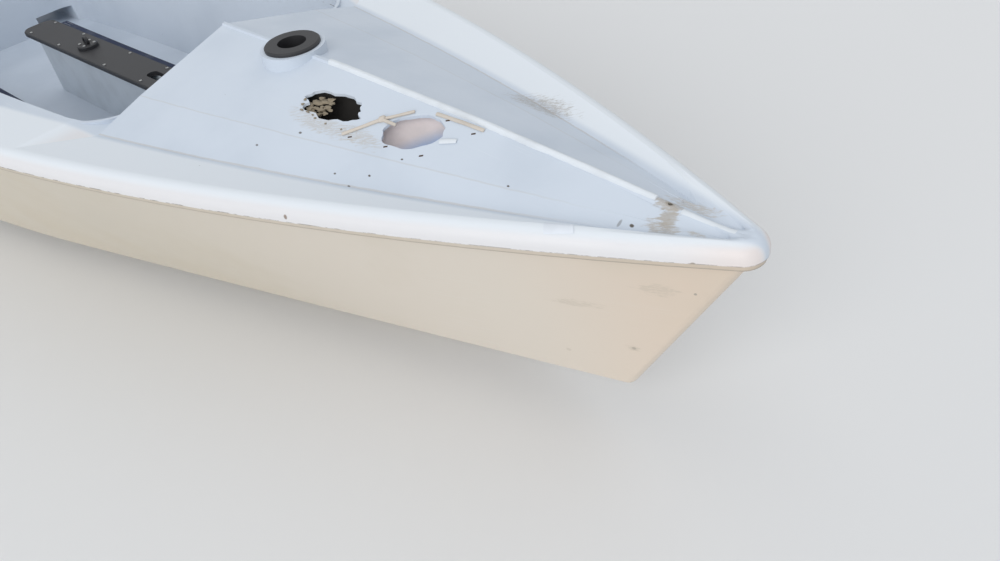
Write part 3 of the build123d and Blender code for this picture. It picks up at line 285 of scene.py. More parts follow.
# Their stitches
STITCH_SIZE = (0.0042, 0.0012, 0.0009)
STITCH_STEP = 0.0062
STITCHES_IN_ROW = 9
STITCH_ROWS = (-0.018, -0.006, 0.006, 0.018)
STITCH_MARGIN_FRONT = 0.068
STITCH_MARGIN_BACK = 0.018
STITCH_LIFT = 0.0002

# Screws: carrier, starts of the lines that find their seats, and the lines' heading
SCREWS = (
    ("case_cap", [(x, y, 1) for x in (-0.44, -0.23, 0.08, 0.30, 0.60) for y in (-0.044, 0.044)],
     (0, 0, -1)),
    ("gudgeon_upper", [(-1.7, y, z) for y in (-0.022, 0.022) for z in (0.412, 0.448)], (1, 0, 0)),
    ("gudgeon_lower", [(-1.7, y, z) for y in (-0.022, 0.022) for z in (0.197, 0.233)], (1, 0, 0)),
    ("sheet_base", [(x, y, 1) for x in (-0.126, -0.094) for y in (-0.017, 0.017)], (0, 0, -1)),
)
SCREW_RADIUS = 0.0045
SCREW_HEAD = 0.0024
SCREW_DOME = 0.0007
SCREW_DOME_INSET = 0.0016
SCREW_SLOT = (0.0052, 0.0010, 0.0022)
SCREW_SLOT_MIDDLE = 0.0029
SCREW_SUNK = 0.0002


def linked(tree, socket, value):
    """Set a socket to a number or colour, or link another socket to it."""
    if isinstance(value, bpy.types.NodeSocket):
        tree.links.new(value, socket)
    elif isinstance(value, tuple) and len(value) == 3 and socket.type == "RGBA":
        socket.default_value = (*value, 1)
    else:
        socket.default_value = value


def math_node(tree, operation, *values):
    node = tree.nodes.new("ShaderNodeMath")
    node.operation = operation
    for socket, value in zip(node.inputs, values):
        linked(tree, socket, value)
    return node.outputs[0]


def times(tree, first, second):
    return math_node(tree, "MULTIPLY", first, second)


def one_minus(tree, value):
    return math_node(tree, "SUBTRACT", 1.0, value)


def mix_colour(tree, share, first, second):
    node = tree.nodes.new("ShaderNodeMix")
    node.data_type = "RGBA"
    linked(tree, node.inputs["Factor"], share)
    linked(tree, node.inputs[6], first)
    linked(tree, node.inputs[7], second)
    return node.outputs[2]


def cover(tree, colour, stain, mask, strength):
    """The colour with a stain over it where the mask is, at that strength."""
    return mix_colour(tree, times(tree, mask, strength), colour, stain)


def ramp(tree, value, low, high):
    """0 below low, 1 above high, smooth between them."""
    node = tree.nodes.new("ShaderNodeMapRange")
    node.interpolation_type = "SMOOTHSTEP"
    linked(tree, node.inputs["Value"], value)
    node.inputs["From Min"].default_value = low
    node.inputs["From Max"].default_value = high
    return node.outputs[0]


def noise(tree, vector, scale, detail=3, rough=0.5):
    node = tree.nodes.new("ShaderNodeTexNoise")
    linked(tree, node.inputs["Vector"], vector)
    linked(tree, node.inputs["Scale"], scale)
    node.inputs["Detail"].default_value = detail
    node.inputs["Roughness"].default_value = rough
    return node.outputs["Fac"]


def waves(tree, value, length):
    """A sine along the value, from -1 to 1, with that wavelength."""
    return math_node(tree, "SINE", times(tree, value, tau / length))


def object_point(tree):
    return tree.nodes.new("ShaderNodeTexCoord").outputs["Object"]


def coordinates(tree, vector):
    node = tree.nodes.new("ShaderNodeSeparateXYZ")
    tree.links.new(vector, node.inputs[0])
    return node.outputs[0], node.outputs[1], node.outputs[2]


def vector_node(tree, operation, first, second):
    node = tree.nodes.new("ShaderNodeVectorMath")
    node.operation = operation
    linked(tree, node.inputs[0], first)
    linked(tree, node.inputs[1], second)
    return node.outputs[0]


def new_group(name, inputs, outputs):
    """An empty shader node group, its input node and its output node."""
    tree = bpy.data.node_groups.new(name, "ShaderNodeTree")
    for label, kind, default in inputs:
        socket = tree.interface.new_socket(label, in_out="INPUT", socket_type=kind)
        if default is not None:
            socket.default_value = default
    for label, kind in outputs:
        tree.interface.new_socket(label, in_out="OUTPUT", socket_type=kind)
    return tree, tree.nodes.new("NodeGroupInput"), tree.nodes.new("NodeGroupOutput")


def place_group(tree, group, **values):
    """Place a node group in a material, with its inputs by name."""
    node = tree.nodes.new("ShaderNodeGroup")
    node.node_tree = group
    for label, value in values.items():
        linked(tree, node.inputs[label], value)
    return node.outputs


def new_material(name, roughness=0.5):
    material = bpy.data.materials.new(name)
    material.use_nodes = True
    tree = material.node_tree
    shader = tree.nodes["Principled BSDF"]
    shader.inputs["Roughness"].default_value = roughness
    return material, tree, shader


def bump(tree, height, strength, distance):
    node = tree.nodes.new("ShaderNodeBump")
    node.inputs["Strength"].default_value = strength
    node.inputs["Distance"].default_value = distance
    tree.links.new(height, node.inputs["Height"])
    return node.outputs[0]


def make_mottle_group():
    """Broad, uneven soiling of a pale surface and a fine grain: shares from 0 to 1."""
    tree, entry, exit_node = new_group(
        "mottle",
        (("Point", "NodeSocketVector", None), ("Size", "NodeSocketFloat", 0.2)),
        (("Mask", "NodeSocketFloat"), ("Grain", "NodeSocketFloat")))
    point = entry.outputs["Point"]
    broad = noise(tree, point, math_node(tree, "DIVIDE", 1.0, entry.outputs["Size"]), 5)
    tree.links.new(ramp(tree, broad, 0.42, 0.72), exit_node.inputs["Mask"])
    tree.links.new(noise(tree, point, 900, 2), exit_node.inputs["Grain"])
    return tree


def make_speck_group():
    """Scattered round specks: 1 on a speck, 0 elsewhere."""
    tree, entry, exit_node = new_group(
        "specks",
        (("Point", "NodeSocketVector", None), ("Spacing", "NodeSocketFloat", 0.05),
         ("Radius", "NodeSocketFloat", 0.002), ("Share", "NodeSocketFloat", 0.3)),
        (("Mask", "NodeSocketFloat"),))
    spacing = entry.outputs["Spacing"]
    cells = tree.nodes.new("ShaderNodeTexVoronoi")
    tree.links.new(entry.outputs["Point"], cells.inputs["Vector"])
    tree.links.new(math_node(tree, "DIVIDE", 1.0, spacing), cells.inputs["Scale"])
    distance = times(tree, cells.outputs["Distance"], spacing)
    chosen = tree.nodes.new("ShaderNodeSeparateColor")
    tree.links.new(cells.outputs["Color"], chosen.inputs[0])
    kept = math_node(tree, "LESS_THAN", chosen.outputs[0], entry.outputs["Share"])
    size = times(tree, chosen.outputs[1], entry.outputs["Radius"])
    near = math_node(tree, "LESS_THAN", distance, size)
    tree.links.new(times(tree, near, kept), exit_node.inputs["Mask"])
    return tree


def make_spot_group():
    """One stain with a ragged, streaky edge and gaps: 1 inside, 0 outside."""
    tree, entry, exit_node = new_group(
        "spot",
        (("Point", "NodeSocketVector", None), ("Centre", "NodeSocketVector", None),
         ("Reach", "NodeSocketVector", None), ("Ragged", "NodeSocketFloat", 0.6),
         ("Broken", "NodeSocketFloat", 0.0)),
        (("Mask", "NodeSocketFloat"),))
    offset = vector_node(tree, "SUBTRACT", entry.outputs["Point"], entry.outputs["Centre"])
    share = vector_node(tree, "DIVIDE", offset, entry.outputs["Reach"])
    length = tree.nodes.new("ShaderNodeVectorMath")
    length.operation = "LENGTH"
    tree.links.new(share, length.inputs[0])
    turned = tree.nodes.new("ShaderNodeVectorRotate")
    turned.rotation_type = "Z_AXIS"
    turned.inputs["Angle"].default_value = radians(STREAK_TURN)
    tree.links.new(entry.outputs["Point"], turned.inputs["Vector"])
    streaks = vector_node(tree, "MULTIPLY", turned.outputs[0], STREAK_STRETCH)
    edge = times(tree, entry.outputs["Ragged"], math_node(
        tree, "SUBTRACT", noise(tree, streaks, 160, 4, 0.65), 0.5))
    far = math_node(tree, "ADD", length.outputs["Value"], edge)
    inside = one_minus(tree, ramp(tree, far, 0.55, 1.1))
    gaps = one_minus(tree, ramp(tree, noise(tree, streaks, 260, 5, 0.75), 0.42, 0.54))
    kept = one_minus(tree, times(tree, gaps, entry.outputs["Broken"]))
    tree.links.new(times(tree, inside, kept), exit_node.inputs["Mask"])
    return tree


def make_scratch_group():
    """Long hairline scratches in patches: a share from 0 to 1."""
    tree, entry, exit_node = new_group(
        "scratches", (("Point", "NodeSocketVector", None), ("Stretch", "NodeSocketVector", None)),
        (("Mask", "NodeSocketFloat"),))
    drawn = vector_node(tree, "MULTIPLY", entry.outputs["Point"], entry.outputs["Stretch"])
    lines = ramp(tree, noise(tree, drawn, 1, 6, 0.7), 0.60, 0.68)
    patches = ramp(tree, noise(tree, entry.outputs["Point"], 5, 2), 0.48, 0.62)
    tree.links.new(times(tree, lines, patches), exit_node.inputs["Mask"])
    return tree


MOTTLE = make_mottle_group()
SPECKS = make_speck_group()
SPOT = make_spot_group()
SCRATCHES = make_scratch_group()


def rim_drop(tree, x, z):
    """How far a point lies below the gunwale's crest plane."""
    fall = math_node(tree, "MULTIPLY_ADD", x, RIM_FALL, BOW_HEIGHT - BOW_X * RIM_FALL)
    return math_node(tree, "SUBTRACT", fall, z)


def band(tree, value, centre, half_width, softness):
    """1 within half a width of the centre, fading over the softness."""
    off = math_node(tree, "ABSOLUTE", math_node(tree, "SUBTRACT", value, centre))
    return one_minus(tree, ramp(tree, off, half_width, half_width + softness))


def stained(tree, point, colour, stains):
    for centre, reach, strength, gaps, stain in stains:
        spot = place_group(tree, SPOT, Point=point, Centre=centre, Reach=reach,
                           Ragged=BROKEN_EDGE if gaps else WHOLE_EDGE, Broken=gaps)
        colour = cover(tree, colour, stain, spot["Mask"], strength)
    return colour


def make_hull_finish():
    """Skin painted cream for warm light bounced from the ground, warmer at the stem, darker aft,
    scuffed low down, tan along the flange and with a painted shadow line under it.
    """
    material, tree, shader = new_material("hull_gelcoat")
    point = object_point(tree)
    x, _, z = coordinates(tree, point)
    mottle = place_group(tree, MOTTLE, Point=point, Size=0.35)
    specks = place_group(tree, SPECKS, Point=point, Spacing=0.06, Radius=0.0030, Share=0.3)
    scratches = place_group(tree, SCRATCHES, Point=point, Stretch=(3.0, 3.0, 420.0))
    # Painted warm light: cream, warmer towards the stem; darker aft
    colour = mix_colour(tree, ramp(tree, x, 1.7, 0.7), HULL_WARM_LIT_CREAM, AFT_CREAM)
    colour = mix_colour(tree, ramp(tree, x, 1.75, 2.2), colour, STEM_WARM_LIT_CREAM)
    colour = cover(tree, colour, GRUBBY_CREAM, mottle["Mask"], 0.6)
    colour = cover(tree, colour, TAN_STAIN, specks["Mask"], 0.35)
    colour = cover(tree, colour, SCRATCH_AND_LIT_WHITE, scratches["Mask"], 0.22)
    low = one_minus(tree, ramp(tree, z, 0.0, 0.075))
    scuffed = times(tree, low, ramp(tree, noise(tree, point, 9, 5, 0.7), 0.38, 0.6))
    colour = cover(tree, colour, DRY_DIRT_AND_SHADOW, scuffed, 0.55)
    wander = times(tree, noise(tree, point, 60, 4), 0.0016)
    wandering_drop = math_node(tree, "ADD", rim_drop(tree, x, z), wander)
    strip = one_minus(tree, ramp(tree, wandering_drop, FLANGE_FOOT_DROP, FLANGE_FOOT_DROP + 0.0025))
    colour = cover(tree, colour, TAN_STAIN, strip, 0.5)
    # Painted shadow: a dark line just under the flange's foot
    seam = band(tree, wandering_drop, FLANGE_FOOT_DROP + 0.0012, 0.0012, 0.002)
    colour = cover(tree, colour, DRY_DIRT_AND_SHADOW, seam, 0.75)
    linked(tree, shader.inputs["Base Color"], stained(tree, point, colour, HULL_STAINS))
    linked(tree, shader.inputs["Roughness"], math_node(
        tree, "MULTIPLY_ADD", mottle["Mask"], 0.18, 0.34))
    linked(tree, shader.inputs["Normal"], bump(tree, mottle["Grain"], 0.06, 0.0005))
    return material


def deck_edge(tree, x):
    """Half breadth of the valley that runs inside the gunwale."""
    station = math_node(tree, "SUBTRACT", BOW_X, x)
    along = math_node(tree, "SUBTRACT", station, DECK_EDGE_CREST_STATION)
    reach = math_node(tree, "SQRT", math_node(
        tree, "SUBTRACT", DECK_EDGE_RADIUS ** 2, math_node(tree, "POWER", along, 2.0)))
    return math_node(tree, "ADD", reach, DECK_EDGE_CREST_BREADTH - DECK_EDGE_RADIUS)


def outward_facing(tree, y):
    """1 where the skin looks away from the keel line or ahead, 0 where it looks inwards."""
    facing = tree.nodes.new("ShaderNodeTexCoord").outputs["Normal"]
    ahead, port, _ = coordinates(tree, facing)
    outward = math_node(tree, "MULTIPLY_ADD", port, math_node(tree, "SIGN", y), ahead)
    return ramp(tree, outward, -0.2, 0.15)


def fold_lines(tree, x, side, valley, wander):
    """Faint tan lines along the foredeck's valleys and knuckles: a share."""
    outside = math_node(tree, "SUBTRACT", side, valley)
    crease = band(tree, math_node(tree, "ADD", outside, wander), 0.0, 0.001, 0.0025)
    knuckle = math_node(tree, "SUBTRACT", side, times(tree, valley, KNUCKLE_SHARE))
    fold = band(tree, math_node(tree, "ADD", knuckle, wander), 0.0, 0.0005, 0.002)
    foredeck = times(tree, math_node(tree, "GREATER_THAN", x, BULKHEAD_X),
                     one_minus(tree, ramp(tree, x, 1.75, 2.0)))
    return times(tree, foredeck, math_node(
        tree, "MAXIMUM", times(tree, crease, 0.38), times(tree, fold, 0.22)))


def lip_line(tree, point, x, drop, wander):
    """The broken dark line along the trimmed lip, stronger towards the stern: a share."""
    lip = band(tree, math_node(tree, "ADD", drop, times(tree, wander, 0.25)),
               LIP_DROP - 0.0007, 0.0003, 0.0009)
    broken = ramp(tree, noise(tree, point, 38, 5, 0.65), 0.44, 0.6)
    aft = math_node(tree, "MULTIPLY_ADD", ramp(tree, x, 1.9, 1.0), 0.35, 0.6)
    return times(tree, times(tree, lip, broken), aft)


def well_pips(tree, point, z):
    """Non-slip pips on the well's floor: 1 on a pip, 0 elsewhere."""
    pips = tree.nodes.new("ShaderNodeTexVoronoi")
    pips.inputs["Scale"].default_value = 140
    pips.inputs["Randomness"].default_value = 0.0
    tree.links.new(point, pips.inputs["Vector"])
    return times(tree, math_node(tree, "LESS_THAN", z, WELL_LEVEL),
                 one_minus(tree, ramp(tree, pips.outputs["Distance"], 0.25, 0.45)))


def make_deck_finish():
    """Bluish white skin, its blue painted sky light, with painted light whitening the gunwale and
    its rolled edge, painted warm light on the nose, specks, stains and a non-slip well floor.
    """
    material, tree, shader = new_material("deck_gelcoat")
    point = object_point(tree)
    x, y, z = coordinates(tree, point)
    drop = rim_drop(tree, x, z)
    side = math_node(tree, "ABSOLUTE", y)
    valley = deck_edge(tree, x)
    mottle = place_group(tree, MOTTLE, Point=point, Size=0.25)
    specks = place_group(tree, SPECKS, Point=point, Spacing=0.045, Radius=0.0022, Share=0.16)
    scratches = place_group(tree, SCRATCHES, Point=point, Stretch=(4.0, 380.0, 4.0))
    colour = cover(tree, DECK_SKY_TINTED_WHITE, DECK_GREY, mottle["Mask"], 0.6)
    colour = cover(tree, colour, SCRATCH_AND_LIT_WHITE, scratches["Mask"], 0.25)
    outer = ramp(tree, math_node(tree, "SUBTRACT", side, valley), 0.004, 0.02)
    # Painted light: the rolled edge is whiter where it faces outwards or ahead
    rolled = times(tree, ramp(tree, drop, 0.001, 0.012), outer)
    rim = times(tree, rolled, outward_facing(tree, y))
    # Painted light: the gunwale beyond the valley is whitened
    colour = cover(tree, colour, SCRATCH_AND_LIT_WHITE, outer, 0.9)
    colour = mix_colour(tree, rim, colour, PAINTED_LIT_RIM_WHITE)
    # Painted warm light over the lit roll towards the nose
    colour = cover(tree, colour, PAINTED_WARM_NOSE_WHITE, rim, ramp(tree, x, 2.08, 2.2))
    colour = cover(tree, colour, DARK_DIRT, specks["Mask"], 0.7)
    wander = times(tree, math_node(tree, "SUBTRACT", noise(tree, point, 30, 3), 0.5), 0.004)
    colour = mix_colour(tree, fold_lines(tree, x, side, valley, wander), colour, TAN_STAIN)
    colour = mix_colour(tree, lip_line(tree, point, x, drop, wander), colour, LIP_DIRT)
    linked(tree, shader.inputs["Base Color"], stained(tree, point, colour, DECK_STAINS))
    linked(tree, shader.inputs["Roughness"], math_node(
        tree, "MULTIPLY_ADD", mottle["Mask"], 0.2, 0.40))
    relief = math_node(tree, "ADD", times(tree, mottle["Grain"], 0.05), well_pips(tree, point, z))
    linked(tree, shader.inputs["Normal"], bump(tree, relief, 1.0, 0.0006))
    return material


def make_plain_finish(name, colour, roughness, metallic, grain_depth):
    """A one-colour finish with fine grain and slightly uneven tone."""
    material, tree, shader = new_material(name, roughness)
    point = object_point(tree)
    mottle = place_group(tree, MOTTLE, Point=point, Size=0.08)
    darker = tuple(0.8 * channel for channel in colour)
    linked(tree, shader.inputs["Base Color"], cover(tree, colour, darker, mottle["Mask"], 0.5))
    shader.inputs["Metallic"].default_value = metallic
    grain = noise(tree, point, 1200, 2)
    linked(tree, shader.inputs["Normal"], bump(tree, grain, grain_depth, 0.0004))
    return material


def make_core_finish():
    """Pale filling seen through the hatch hole, with painted light and shade: warm painted light
    on the far side, blue-grey painted shade near and deep down.
    """
    material, tree, shader = new_material("core_foam", 0.8)
    point = object_point(tree)
    x, _, z = coordinates(tree, point)
    # Painted shade: blue-grey deeper down and further forward, warm painted light on the far side
    deep = times(tree, math_node(tree, "SUBTRACT", 0.585, z), 16)
    forward = times(tree, math_node(tree, "SUBTRACT", x, 1.49), 6.0)
    near = ramp(tree, math_node(tree, "ADD", deep, forward), 0.45, 0.95)
    mottle = place_group(tree, MOTTLE, Point=point, Size=0.03)
    colour = mix_colour(tree, near, CORE_PAINTED_LIGHT, CORE_PAINTED_SHADE)
    colour = cover(tree, colour, CORE_DUST, mottle["Mask"], 0.2)
    linked(tree, shader.inputs["Base Color"], colour)
    linked(tree, shader.inputs["Normal"], bump(tree, mottle["Grain"], 0.3, 0.001))
    return material


def make_webbing_finish():
    """Dark woven band: ribs across and a finer yarn along."""
    material, tree, shader = new_material("strap_webbing", 0.85)
    point = object_point(tree)
    x, y, _ = coordinates(tree, point)
    crossing = times(tree, waves(tree, x, 0.0022), waves(tree, y, 0.0016))
    weave = math_node(tree, "MULTIPLY_ADD", crossing, 0.5, 0.5)
    faded = ramp(tree, noise(tree, point, 14, 4), 0.45, 0.7)
    colour = mix_colour(tree, weave, YARN_DARK, YARN_BLUE)
    linked(tree, shader.inputs["Base Color"], cover(tree, colour, YARN_FADED, faded, 0.35))
    linked(tree, shader.inputs["Normal"], bump(tree, weave, 0.8, 0.0006))
    return material


def make_extension_finish():
    """Anodised tube with a ribbed rubber grip over its free end."""
    material, tree, shader = new_material("extension_tube")
    point = object_point(tree)
    x, _, _ = coordinates(tree, point)
    rubber = math_node(tree, "LESS_THAN", x, GRIP_END_X)
    ribs = math_node(tree, "MULTIPLY_ADD", waves(tree, x, 0.008), 0.5, 0.5)
    mottle = place_group(tree, MOTTLE, Point=point, Size=0.05)
    tube = cover(tree, TUBE_BRIGHT, TUBE_DULL, mottle["Mask"], 0.4)
    linked(tree, shader.inputs["Base Color"], mix_colour(tree, rubber, tube, GRIP_BLACK))
    linked(tree, shader.inputs["Metallic"], one_minus(tree, rubber))
    linked(tree, shader.inputs["Roughness"], math_node(tree, "MULTIPLY_ADD", rubber, 0.4, 0.33))
    linked(tree, shader.inputs["Normal"], bump(tree, times(tree, rubber, ribs), 0.9, 0.001))
    return material


def paint(finish, *nodes):
    for node in nodes:
        piece = NODES[node]
        piece.data.materials.clear()
        piece.data.materials.append(finish)


def select_alone(piece):
    bpy.ops.object.select_all(action="DESELECT")
    piece.select_set(True)
    bpy.context.view_layer.objects.active = piece


def open_edit(piece):
    """Edit one piece alone, with all of it selected."""
    select_alone(piece)
    bpy.ops.object.mode_set(mode="EDIT")
    bpy.ops.mesh.select_all(action="SELECT")


def close_edit():
    bpy.ops.object.mode_set(mode="OBJECT")


def pick_faces(piece, test):
    """Select the faces whose centre and normal pass the test, in edit mode."""
    bpy.ops.mesh.select_mode(type="FACE")
    bpy.ops.mesh.select_all(action="DESELECT")
    close_edit()
    for face in piece.data.polygons:
        face.select = test(face.center, face.normal)
    bpy.ops.object.mode_set(mode="EDIT")


def cut_across(places, direction):
    """Cut the piece in edit mode by planes square to a direction, at those places along it."""
    for place in places:
        bpy.ops.mesh.select_all(action="SELECT")
        bpy.ops.mesh.bisect(plane_co=[place * share for share in direction], plane_no=direction)


def settle(piece):
    """Put the piece's place, turn and scale into its mesh."""
    select_alone(piece)
    bpy.ops.object.transform_apply(location=True, rotation=True, scale=True)


def apply_modifier(piece, kind, **settings):
    bpy.context.view_layer.objects.active = piece
    modifier = piece.modifiers.new(kind.lower(), kind)
    for label, value in settings.items():
        setattr(modifier, label, value)
    bpy.ops.object.modifier_apply(modifier=modifier.name)


def cut_out(piece, cutter):
    """Take the cutter's shape out of the piece and drop the cutter."""
    apply_modifier(piece, "BOOLEAN", object=cutter, operation="DIFFERENCE", solver="EXACT")
    bpy.data.objects.remove(cutter)


def round_edges(piece, width, angle):
    apply_modifier(piece, "BEVEL", width=width, segments=2, limit_method="ANGLE",
                   angle_limit=radians(angle))


def joined(pieces):
    """The pieces as one, in the first of them."""
    if len(pieces) > 1:
        bpy.ops.object.select_all(action="DESELECT")
        for piece in pieces:
            piece.select_set(True)
        bpy.context.view_layer.objects.active = pieces[0]
        bpy.ops.object.join()
    return pieces[0]


def fit(piece, name, finish, body, angle):
    """Name, smooth up to an angle, paint and mount a finished piece."""
    piece.name = name
    piece.data.name = name
    select_alone(piece)
    bpy.ops.object.shade_smooth_by_angle(angle=radians(angle))
    piece.data.materials.clear()
    piece.data.materials.append(finish)
    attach(piece, body)


def copied(piece):
    twin = piece.copy()
    twin.data = piece.data.copy()
    bpy.context.scene.collection.objects.link(twin)
    return twin


def panel_height(x, y):
    """Height of the roof panel round the tears."""
    across = PANEL_NORMAL.x * (x - PANEL_POINT.x) + PANEL_NORMAL.y * (y - PANEL_POINT.y)
    return PANEL_POINT.z - across / PANEL_NORMAL.z


def deck_height(deck, x, y):
    """Height of the deck at a place in plan, or of the roof panel where a tear is."""
    found, point, _, _ = deck.ray_cast(Vector((x, y, 2)), Vector((0, 0, -1)))
    return point.z if found and point.z > ROOF_LEVEL else panel_height(x, y)


def lay(piece, deck):
    """Let a piece that was modelled flat follow the deck beneath it."""
    for vertex in piece.data.vertices:
        vertex.co.z += deck_height(deck, vertex.co.x, vertex.co.y)


def torn_cutter(x, y, length, width, turn, ragged):
    """An upright oval plug with an uneven outline."""
    bpy.ops.mesh.primitive_cylinder_add(vertices=40, radius=1, depth=PLUG_HEIGHT)
    plug = bpy.context.object
    for vertex in plug.data.vertices:
        spread = noise_value(Vector((vertex.co.x * 2.5, vertex.co.y * 2.5, x))) * ragged
        fine = noise_value(Vector((vertex.co.x * 9, vertex.co.y * 9, y))) * ragged * 0.6
        vertex.co.x *= 1 + spread + fine
        vertex.co.y *= 1 + spread + fine
    plug.scale = (length, width, 1)
    plug.rotation_euler = (0, 0, radians(turn))
    plug.location = (x, y, panel_height(x, y) if ragged else SPINE_FOOT_HEIGHT)
    settle(plug)
    return plug


def close_hole(deck, x, y, reach):
    """Take out the wall of a hole in the deck's roof, in edit mode, and fill both its rims."""
    pick_faces(deck, lambda centre, normal: centre.z > ROOF_LEVEL and abs(normal.z) < 0.5
               and (centre.xy - Vector((x, y))).length < reach)
    bpy.ops.mesh.delete(type="FACE")
    bpy.ops.mesh.select_mode(type="EDGE")
    bpy.ops.mesh.select_all(action="DESELECT")
    bpy.ops.mesh.select_non_manifold(use_wire=False, use_multi_face=False,
                                     use_non_contiguous=False, use_verts=False)
    bpy.ops.mesh.fill_holes(sides=0)


def in_soft_nose(place):
    return (place.x > SOFT_NOSE_X and place.z > SOFT_NOSE_LEVEL
            and abs(place.y) < SOFT_NOSE_SPREAD * (SOFT_NOSE_END - place.x))


def soften_nose(deck):
    """Let the valleys and the ridge run out softly before the nose."""
    open_edit(deck)
    pick_faces(deck, lambda centre, normal: in_soft_nose(centre) and normal.z > 0)
    bpy.ops.mesh.subdivide(number_cuts=2)
    bpy.ops.mesh.vertices_smooth(factor=0.5, repeat=SOFT_NOSE_PASSES)
    close_edit()


def place_key(point):
    return tuple(round(value, 5) for value in point)


def keep_shading(mesh, source):
    """Give each corner the source's shading where the source has that corner, facing that way."""
    known = {}
    for face in source.polygons:
        for corner in face.loop_indices:
            place = source.vertices[source.loops[corner].vertex_index].co
            known.setdefault(place_key(place), []).append(
                (face.normal.copy(), source.corner_normals[corner].vector.copy()))
    normals = []
    for face in mesh.polygons:
        for corner in face.loop_indices:
            vertex = mesh.vertices[mesh.loops[corner].vertex_index]
            own = vertex.normal if vertex.co.x > SMOOTH_SHADING_X else face.normal
            there = known.get(place_key(vertex.co), [])
            flat, shaded = max(there, key=lambda pair: pair[0].dot(face.normal),
                               default=(face.normal, own))
            normals.append(shaded if flat.dot(face.normal) > 0.9 else face.normal)
    for edge in mesh.edges:
        edge.use_edge_sharp = True
    mesh.normals_split_custom_set(normals)


def make_deck(finish):
    """The deck moulding with its tears where they really are."""
    packed = NODES["deck"]
    deck = copied(packed)
    deck.parent = None
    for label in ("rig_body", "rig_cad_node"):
        del deck[label]
    bpy.context.view_layer.objects.active = deck
    bpy.ops.mesh.customdata_custom_splitnormals_clear()
    open_edit(deck)
    bpy.ops.mesh.remove_doubles(threshold=0.00002)
    for hole in PACKED_HOLES:
        close_hole(deck, *hole)
    close_edit()
    soften_nose(deck)
    open_edit(deck)
    bpy.ops.mesh.select_mode(type="FACE")
    bpy.ops.mesh.select_face_by_sides(number=4, type="GREATER", extend=False)
    bpy.ops.mesh.quads_convert_to_tris(ngon_method="BEAUTY")
    close_edit()
    for tear in TEARS.values():
        cut_out(deck, torn_cutter(*tear))
    fit(deck, "deck_moulding", finish, "hull", 30)
    keep_shading(deck.data, packed.data)
    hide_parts("deck")
    return deck


def make_bowl(name, tear, reach, finish):
    """What shows through a tear: a hollow in the filling under the roof."""
    x, y, _, _, turn, _ = TEARS[tear]
    bpy.ops.mesh.primitive_uv_sphere_add(segments=36, ring_count=18, radius=1)
    bowl = bpy.context.object
    open_edit(bowl)
    bpy.ops.mesh.bisect(plane_co=(0, 0, 0), plane_no=(0, 0, 1), clear_outer=True)
    close_edit()
    for vertex in bowl.data.vertices:
        vertex.co *= 1 + 0.10 * noise_value(vertex.co * 2.2) * (vertex.co.z < -0.1)
    bowl.scale = reach
    settle(bowl)
    bowl.rotation_euler = (0, 0, radians(turn))
    settle(bowl)
    bowl.rotation_euler = Vector((0, 0, 1)).rotation_difference(PANEL_NORMAL).to_euler()
    bowl.location = Vector((x, y, panel_height(x, y))) - PANEL_NORMAL * (ROOF_WALL + HOLLOW_GAP)
    settle(bowl)
    apply_modifier(bowl, "SOLIDIFY", thickness=HOLLOW_WALL, offset=1.0)
    fit(bowl, name, finish, "hull", 60)


def make_strip(deck, start, end, width, height, cuts, lift=0.0, tip=1.0):
    """A rounded strip on the deck between two places in plan, narrowing to its tip."""
    start, end = Vector(start), Vector(end)
    run = end - start
    bpy.ops.mesh.primitive_cylinder_add(vertices=12, radius=0.5, depth=1,
                                        rotation=(0, radians(90), 0))
    strip = bpy.context.object
    settle(strip)
    open_edit(strip)
    cut_across([step / cuts - 0.5 for step in range(1, cuts)], (1, 0, 0))
    close_edit()
    for vertex in strip.data.vertices:
        along = vertex.co.x + 0.5
        narrow = 1 + (tip - 1) * along
        wave = 1 + 0.10 * noise_value(Vector((along * run.length * 60, vertex.co.y, start.x)))
        vertex.co.y *= narrow * wave
        vertex.co.z *= narrow * wave
    strip.scale = (run.length, width, height)
    settle(strip)
    round_edges(strip, min(width, height) * 0.25, 60)
    strip.rotation_euler = (0, 0, run.angle_signed(Vector((1, 0))))
    strip.location = (*((start + end) / 2), lift)
    settle(strip)
    lay(strip, deck)
    return strip


def make_strips(deck):
    made = {}
    for name, *shape in STRIPS:
        made.setdefault(name, []).append(make_strip(deck, *shape))
    for name, strips in made.items():
        fit(joined(strips), name, FINISHES[STRIP_FINISHES[name]], "hull", 50)


def make_rod_knot(deck):
    """The lump where the loose rods meet."""
    bpy.ops.mesh.primitive_ico_sphere_add(subdivisions=3, radius=1)
    knot = bpy.context.object
    for vertex in knot.data.vertices:
        vertex.co *= 1 + 0.25 * noise_value(vertex.co * 1.8)
    knot.scale = KNOT_REACH
    knot.rotation_euler = (0, 0, radians(KNOT_TURN))
    knot.location = KNOT_PLACE
    settle(knot)
    lay(knot, deck)
    fit(knot, "rod_knot", FINISHES["cream_rod"], "hull", 60)


def make_slots(deck):
    slots = [make_strip(deck, Vector(place) - SLOT_HALF, Vector(place) + SLOT_HALF, SLOT_WIDTH,
                        SLOT_HEIGHT, 4) for place in SLOTS]
    fit(joined(slots), "screw_slots", FINISHES["dark_slot"], "hull", 50)


